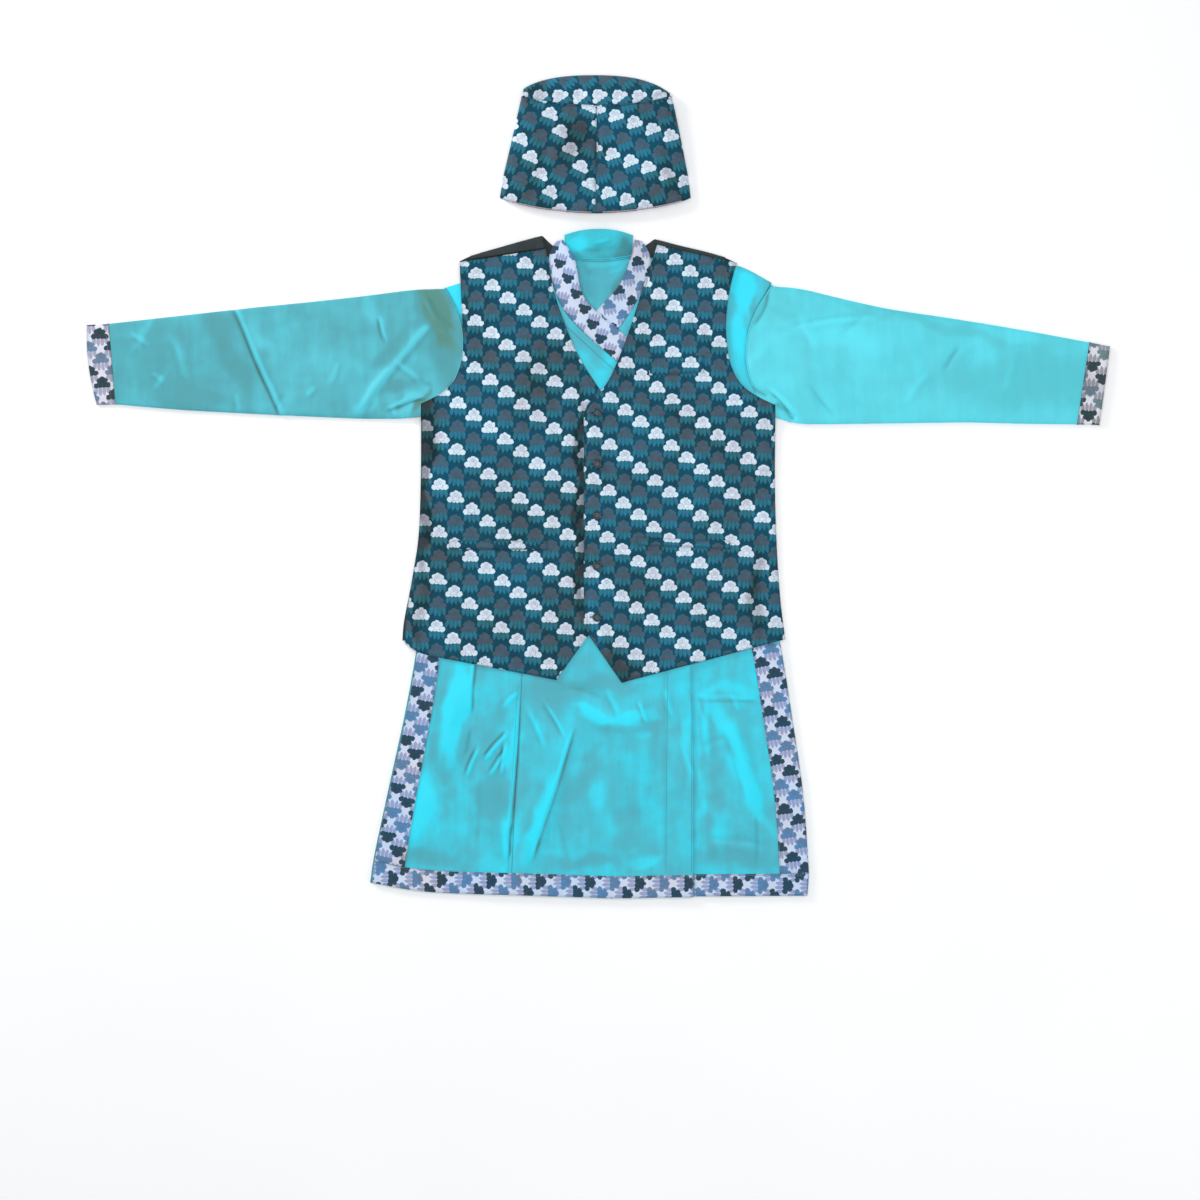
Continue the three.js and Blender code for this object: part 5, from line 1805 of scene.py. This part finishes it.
@dataclass(frozen=True)
class Buttons:
    """The waistcoat's row of buttons and their buttonholes, on its left front.

    profile runs from the middle of a button's dished face over its rim to its back, as radius and height.
    cross is half of the thread cross's width and cross_up its height. hole is the buttonhole's ends from
    the button's middle, and lip how far its two rows lie from its middle line.
    """

    on: str = "waistcoat_left"
    x: float = -2.0
    places: tuple[float, ...] = (110.0, 33.5, -43.0, -119.5, -196.0)
    profile: tuple[tuple[float, float], ...] = (
        (0.0, 1.75), (1.2, 1.75), (2.7, 1.7), (4.4, 1.95), (5.2, 2.5), (5.9, 2.85),
        (6.6, 2.6), (7.0, 1.7), (6.7, 0.8), (4.6, 0.15), (0.0, 0.05),
    )
    around: int = 32
    seat: float = 6.0
    cross: float = 1.6
    cross_up: float = 2.05
    hole: tuple[float, float] = (-10.5, 9.0)
    lip: float = 0.9

    def master(self) -> bpy.types.Object:
        """Model one button.

        Returns:
            The button, closed, with its back at the origin.
        """
        form = bmesh.new()
        turns = [math.tau * i / self.around for i in range(self.around)]
        loops = []
        for radius, up in self.profile:
            spots = [(radius * MM * math.cos(a), radius * MM * math.sin(a), up * MM) for a in turns]
            loops.append([form.verts.new(spot) for spot in (spots if radius else spots[:1])])
        for one, two in zip(loops, loops[1:]):
            for i in range(self.around):
                ends = [loop[j % len(loop)] for loop, j in ((one, i), (two, i), (two, i + 1), (one, i + 1))]
                form.faces.new(list(dict.fromkeys(ends)))
        bmesh.ops.recalc_face_normals(form, faces=form.faces)
        mesh = bpy.data.meshes.new("button")
        form.to_mesh(mesh)
        form.free()
        return placed("button_master", mesh)

    def ground(self, sewing: Sewing, y: float) -> float:
        """Find how high the cloth under a button stands."""
        around = [(0, 0), (self.seat, 0), (-self.seat, 0), (0, self.seat), (0, -self.seat)]
        return max(sewing.height(self.on, self.x + dx, y + dy) for dx, dy in around)

    def crosses(self, seats: list[np.ndarray]) -> list[np.ndarray]:
        """Find the crossed threads on the buttons.

        Args:
            seats: The buttons' places, in metres.

        Returns:
            Two paths for each button.
        """
        half, up = self.cross * MM, self.cross_up * MM
        return [
            np.array([seat[0] + (-half, -half * slope, up), seat[0] + (half, half * slope, up)])
            for seat in seats
            for slope in (1, -1)
        ]

    def build(self, sewing: Sewing, wardrobe: Wardrobe) -> None:
        """Set the buttons, sew them on and work the buttonholes.

        Args:
            sewing: What lays the stitches.
            wardrobe: Where the materials come from.
        """
        seats = [np.array([(self.x * MM, y * MM, self.ground(sewing, y))]) for y in self.places]
        master = self.master()
        values = {"Button": master, "Material": wardrobe.get(BUTTON_GLOSS)}
        row = grown(seats, button_tree(), values, "waistcoat_buttons")
        bpy.data.objects.remove(master)
        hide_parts(*(f"waistcoat_button_{i + 1}" for i in range(len(self.places))))
        LOG.info("buttons: %d, with %d faces", len(self.places), len(row.data.polygons))
        sewing.stitch("button_thread", self.crosses(seats), CROSS, THREAD_DARK, "button")
        start, end = (self.x + reach for reach in self.hole)
        holes = tuple(
            Row(self.on, ((start, y + side), (end, y + side)))
            for y in self.places
            for side in (self.lip, -self.lip)
        )
        sewing.sew(Stitching("buttonholes", holes, THREAD_DARK, "dark_print", BUTTONHOLE))


# ---------------------------------------------------------------- garments


@dataclass
class Garment:
    """One garment of the suit: its cloth, the stitches on it and the seams that close it."""

    cuts: tuple[Cut, ...] = ()
    stitching: tuple[Stitching, ...] = ()
    seams: tuple[Seam, ...] = ()
    shells: dict[str, Shell] = field(default_factory=dict)

    def build(self, wardrobe: Wardrobe) -> None:
        """Make the garment's cloth.

        Args:
            wardrobe: Where the materials come from.
        """
        for cut in self.cuts:
            self.shells[cut.name] = Shell(cut, wardrobe)
            self.shells[cut.name].build()

    def declare(self) -> None:
        """Run each sheet's declare, which keeps nothing, once all sheets and the floor are there."""
        for shell in self.shells.values():
            shell.declare()

    def sew(self, sewing: Sewing, wardrobe: Wardrobe) -> None:
        """Sew the garment's stitches and close its seams.

        Args:
            sewing: What lays the stitches.
            wardrobe: Where the materials come from.
        """
        for work in self.stitching:
            sewing.sew(work)
        for seam in self.seams:
            seam.build(self.shells[seam.on], wardrobe)


TUNIC_ROWS = (
    Row("tunic_front_right", ((104, -262), (102, -420), (101, -578))),
    Row("tunic_front_right", ((139, -262), (139.5, -420), (139.5, -578))),
    Row("tunic_front_right", ((-77, 282), (-55, 247), (-26, 220), (-2, 198), (22, 177), (40, 160))),
    Row("tunic_front_right", ((-72, 276), (-50, 241), (-22, 215), (2, 193), (26, 171), (44, 155))),
    Row("tunic_side_right", ((-121, -300), (-124, -353), (-128, -419), (-132, -484), (-135.5, -577))),
)
PRINT_ROWS = (
    Row("hem_border_right", ((-296, -571), (-215, -577.5), (-134, -578.5))),
    Row("hem_border_right", ((-130, -582.5), (-60, -584.8), (20, -586), (80, -585.6), (136, -585))),
    Row("hem_border_left", ((147, -583.5), (220, -583.2), (306, -582.6))),
    Row(
        "side_border_right",
        ((-238, -262), (-242, -300), (-253, -353), (-263, -419), (-275, -484), (-285, -560)),
    ),
    Row(
        "side_border_left",
        ((231, -262), (240, -300), (250, -353), (262, -419), (268, -484), (273, -574)),
    ),
    Row("tunic_cuff_right", ((-738.5, 238), (-730, 126))),
    Row("tunic_cuff_left", ((738.5, 212), (720, 97))),
)
VEST_ROWS = (
    Row("waistcoat_left", ((-17.5, 108), (-17.5, 0), (-17.5, -110), (-17.5, -208), (33, -287))),
    Row("waistcoat_left", ((39, -289), (120, -270), (200, -250), (272, -230))),
    Row("waistcoat_right", ((-70, -285), (-160, -271), (-262, -250))),
    Row("waistcoat_left", ((81, 340), (68, 290), (55, 248), (40, 205), (24, 168), (6, 142))),
    Row("waistcoat_right", ((-80, 338), (-72, 288), (-59, 252), (-44, 210), (-22, 168))),
    Row("welt_hip_right", ((-221, -92.5), (-80, -93.5))),
    Row("welt_hip_left", ((61, -86), (194, -92))),
    Row("welt_chest", ((79, 169), (155, 173.5))),
)
SKIRT_SEEN = Region(high_y=-236)


@dataclass
class Tunic(Garment):
    """The wrap-fronted tunic, with printed cuffs, collar and borders."""

    cuts: tuple[Cut, ...] = (
        Cut("tunic_back", ("daura_back",), TEAL_BACK_SHADED, "teal_cloth", (655, 960), ("floor",),
            BACK, close=Region(-45, 60, 240, 340), parts=4),
        Cut("tunic_front_right", ("daura_front_right",), TEAL_BODY, "teal_cloth", (375, 955),
            ("tunic_front_left",), SKIRT, close=SKIRT_SEEN, parts=4),
        Cut("tunic_side_right", ("daura_side_right",), TEAL_BODY, "teal_cloth", (230, 755), ("tunic_back",),
            SKIRT, close=SKIRT_SEEN, parts=4),
        Cut("tunic_front_left", ("daura_front_left",), TEAL_BODY, "teal_cloth", (356, 960), ("tunic_back",),
            GORE, close=Region(low_x=130, high_y=-236), parts=4),
        Cut("tunic_sleeve_right", ("daura_sleeve_right",), TEAL_RIGHT_SHADED, "teal_cloth", (400, 532), ("floor",),
            RIGHT_SLEEVE, Side.OUTSIDE, close=Region()),
        Cut("tunic_sleeve_left", ("daura_sleeve_left",), TEAL_LEFT_LIT, "teal_cloth", (424, 517), ("floor",),
            LEFT_SLEEVE, Side.OUTSIDE, close=Region()),
        Cut("tunic_cuff_right", ("daura_cuff_right",), CUFF_RIGHT_PRINT, "light_print", (250, 34), ("floor",),
            RIGHT_SLEEVE, Side.OUTSIDE),
        Cut("tunic_cuff_left", ("daura_cuff_left",), CUFF_LEFT_PRINT, "light_print", (250, 34), ("floor",),
            LEFT_SLEEVE, Side.OUTSIDE),
        Cut("tunic_collar_back", ("daura_collar_back",), TEAL_NECK_SHADED, "teal_cloth", (108, 46), ("tunic_back",),
            COLLAR, levels=3),
        Cut("tunic_collar_left", ("daura_collar_left",), COLLAR_LEFT_PRINT, "light_print", (38, 222),
            ("tunic_front_left",), COLLAR, levels=3),
        Cut("tunic_collar_right", ("daura_collar_right",), COLLAR_RIGHT_PRINT, "light_print", (38, 232),
            ("tunic_front_right",), COLLAR, levels=3),
        Cut("side_border_right", ("daura_side_border_right",), SIDE_RIGHT_PRINT, "light_print", (52, 334),
            ("tunic_side_right",), SKIRT, levels=3),
        Cut("side_border_left", ("daura_side_border_left",), SIDE_LEFT_PRINT, "light_print", (48, 348),
            ("tunic_front_left",), GORE, levels=3),
        Cut("hem_border_right", ("daura_hem_border_right",), HEM_PRINT, "light_print", (484, 40),
            ("tunic_front_right", "tunic_side_right"), SKIRT, levels=3),
        Cut("hem_border_left", ("daura_hem_border_left",), HEM_PRINT, "light_print", (172, 34),
            ("tunic_front_left",), GORE, levels=3),
    )
    stitching: tuple[Stitching, ...] = (
        Stitching("stitches_tunic", TUNIC_ROWS, THREAD_TEAL, "teal_cloth"),
        Stitching("stitches_borders", PRINT_ROWS, THREAD_PALE, "light_print"),
    )
    seams: tuple[Seam, ...] = (
        Seam("armhole_seam_right", "tunic_sleeve_right", Region(low_x=-330), 0.9, "teal_cloth"),
        Seam("armhole_seam_left", "tunic_sleeve_left", Region(high_x=330), 0.9, "teal_cloth"),
        Seam("neck_seam", "tunic_collar_back", Region(-40, 58, high_y=350), 1.1, "teal_cloth", low=True),
        Seam("neck_edge", "tunic_back", Region(-40, 58, 330, 350), 0.9, "teal_cloth", low=True),
        Seam("collar_lap", "tunic_collar_right", Region(-4, 30, 236, 268), 0.8, "light_print", low=True),
    )


@dataclass
class Waistcoat(Garment):
    """The buttoned waistcoat, with its plain back and its welts."""

    cuts: tuple[Cut, ...] = (
        Cut("waistcoat_back_cloth", ("waistcoat_back", "waistcoat_shoulder_right", "waistcoat_shoulder_left"),
            DARK_BACK, "dark_back", (572, 612), ("floor",), facing=(0.0, 0.6, 0.8)),
        Cut("waistcoat_right", ("waistcoat_front_right",), VEST_RIGHT, "dark_print", (302, 650),
            ("tunic_front_right",), VEST, levels=3, thick=1.1),
        Cut("waistcoat_left", ("waistcoat_front_left",), VEST_LEFT, "dark_print", (302, 662),
            ("waistcoat_right",), VEST_OVERLAP, levels=3, thick=1.1),
        Cut("welt_hip_right", ("waistcoat_welt_hip_right",), WELT_RIGHT, "dark_print", (148, 14),
            ("waistcoat_right",), VEST, levels=3, thick=1.1, edge=1.6),
        Cut("welt_hip_left", ("waistcoat_welt_hip_left",), WELT_LEFT, "dark_print", (140, 18),
            ("waistcoat_left",), VEST_OVERLAP, levels=3, thick=1.1, edge=1.6),
        Cut("welt_chest", ("waistcoat_welt_chest",), WELT_LEFT, "dark_print", (83, 30),
            ("waistcoat_left",), VEST_OVERLAP, levels=3, thick=1.1, edge=1.6),
    )
    stitching: tuple[Stitching, ...] = (
        Stitching("stitches_waistcoat", VEST_ROWS, THREAD_DARK, "dark_print"),
    )
    buttons: Buttons = Buttons()

    def sew(self, sewing: Sewing, wardrobe: Wardrobe) -> None:
        """Sew the waistcoat and button it."""
        super().sew(sewing, wardrobe)
        self.buttons.build(sewing, wardrobe)


@dataclass
class Cap(Garment):
    """The cap, folded flat, with a pale binding at its lower edge."""

    cuts: tuple[Cut, ...] = (
        Cut("cap_band_right", ("topi_band_right",), CAP_RIGHT, "dark_print", (290, 192), ("floor",),
            CAP, Side.OUTSIDE, 3, 1.3, held="folded"),
        Cut("cap_band_left", ("topi_band_left",), CAP_LEFT, "dark_print", (290, 192), ("floor",),
            CAP, Side.OUTSIDE, 3, 1.3, held="folded"),
        Cut("cap_crown", ("topi_crown",), CAP_CROWN, "dark_print", (216, 92), ("floor",),
            CAP, Side.OUTSIDE, 3, 1.3, held="folded"),
    )
    seams: tuple[Seam, ...] = (
        Seam(
            "cap_binding_right", "cap_band_right", Region(-144.5, -5, high_y=455), 0.8, "dark_print",
            cloth=BINDING_PALE,
        ),
        Seam(
            "cap_binding_left", "cap_band_left", Region(1, 137.5, high_y=455), 0.8, "dark_print",
            cloth=BINDING_PALE,
        ),
        Seam("cap_crown_seam", "cap_crown", Region(-106, 102, high_y=586.5), 1.0, "dark_print"),
        Seam("cap_band_seam_right", "cap_band_right", Region(-110, -5, low_y=560), 0.9, "dark_print"),
        Seam("cap_band_seam_left", "cap_band_left", Region(1, 108, low_y=560), 0.9, "dark_print"),
    )


# ---------------------------------------------------------------- studio


@dataclass(frozen=True)
class Lamp:
    """A round soft light that points at the middle of the suit, in metres and watts."""

    name: str
    place: tuple[float, float, float]
    size: float
    power: float

    def hang(self) -> None:
        """Put the light in the scene."""
        lamp = bpy.data.lights.new(self.name, "AREA")
        lamp.shape = "DISK"
        lamp.size = self.size
        lamp.energy = self.power
        light = placed(self.name, lamp)
        light.location = self.place
        light.rotation_euler = (-Vector(self.place)).to_track_quat("-Z", "Y").to_euler()


@dataclass(frozen=True)
class Studio:
    """The floor, the soft light and the camera straight above, with plain colours as the eye has them.

    centre and across are the photograph's field, in millimetres as the sensor is. The camera's height, the
    floor's measures and the farthest thing that the camera sees are in metres.
    """

    centre: tuple[float, float] = (2.25, -170.25)
    across: float = 1800.0
    height: float = 6.0
    sensor: float = 36.0
    farthest: float = 50.0
    floor_radius: float = 6.0
    floor_drop: float = 0.0004
    floor_sides: int = 96
    sky: tuple[float, float, float, float] = (0.93, 0.96, 1.0, 1.0)
    sky_strength: float = 0.5
    lamps: tuple[Lamp, ...] = (
        Lamp("overhead", (0.0, 0.2, 3.2), 2.6, 40.0),
        Lamp("raking", (-2.6, 2.0, 1.1), 0.9, 56.0),
        Lamp("fill", (2.6, -1.2, 1.6), 1.4, 13.0),
    )

    def build(self) -> None:
        """Make the surroundings."""
        bpy.context.scene.view_settings.view_transform = "Standard"
        self.floor()
        self.light()
        self.camera()

    def floor(self) -> None:
        """Lay a wide, round, plain floor just under the suit."""
        form = bmesh.new()
        bmesh.ops.create_circle(form, cap_ends=True, segments=self.floor_sides, radius=self.floor_radius)
        bmesh.ops.translate(form, verts=form.verts, vec=(0, 0, -self.floor_drop))
        mesh = bpy.data.meshes.new("floor")
        form.to_mesh(mesh)
        form.free()
        mesh.materials.append(floor_material())
        placed("floor", mesh)

    def light(self) -> None:
        """Set a broad soft light above, a lower one that draws the folds, a weak one and an even sky."""
        world = bpy.data.worlds.new("studio")
        bpy.context.scene.world = world
        world.use_nodes = True
        sky = world.node_tree.nodes["Background"]
        sky.inputs[0].default_value = self.sky
        sky.inputs[1].default_value = self.sky_strength
        for lamp in self.lamps:
            lamp.hang()

    def camera(self) -> None:
        """Look straight down, with a long lens, on the same field as the photograph."""
        data = bpy.data.cameras.new("camera")
        data.sensor_width = self.sensor
        data.lens = self.sensor * self.height / (self.across * MM)
        data.clip_end = self.farthest
        camera = placed("camera", data)
        camera.location = (self.centre[0] * MM, self.centre[1] * MM, self.height)
        bpy.context.scene.camera = camera


def main() -> None:
    """Dress the frame: make the garments and the studio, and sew."""
    logging.basicConfig(level=logging.INFO, format="%(message)s")
    wardrobe = Wardrobe()
    suit = (Tunic(), Waistcoat(), Cap())
    for garment in suit:
        garment.build(wardrobe)
    Studio().build()
    for garment in suit:
        garment.declare()
    pieces = {name: shell.piece for garment in suit for name, shell in garment.shells.items()}
    sewing = Sewing(pieces, wardrobe)
    for garment in suit:
        garment.sew(sewing, wardrobe)


if __name__ == "__main__":
    main()
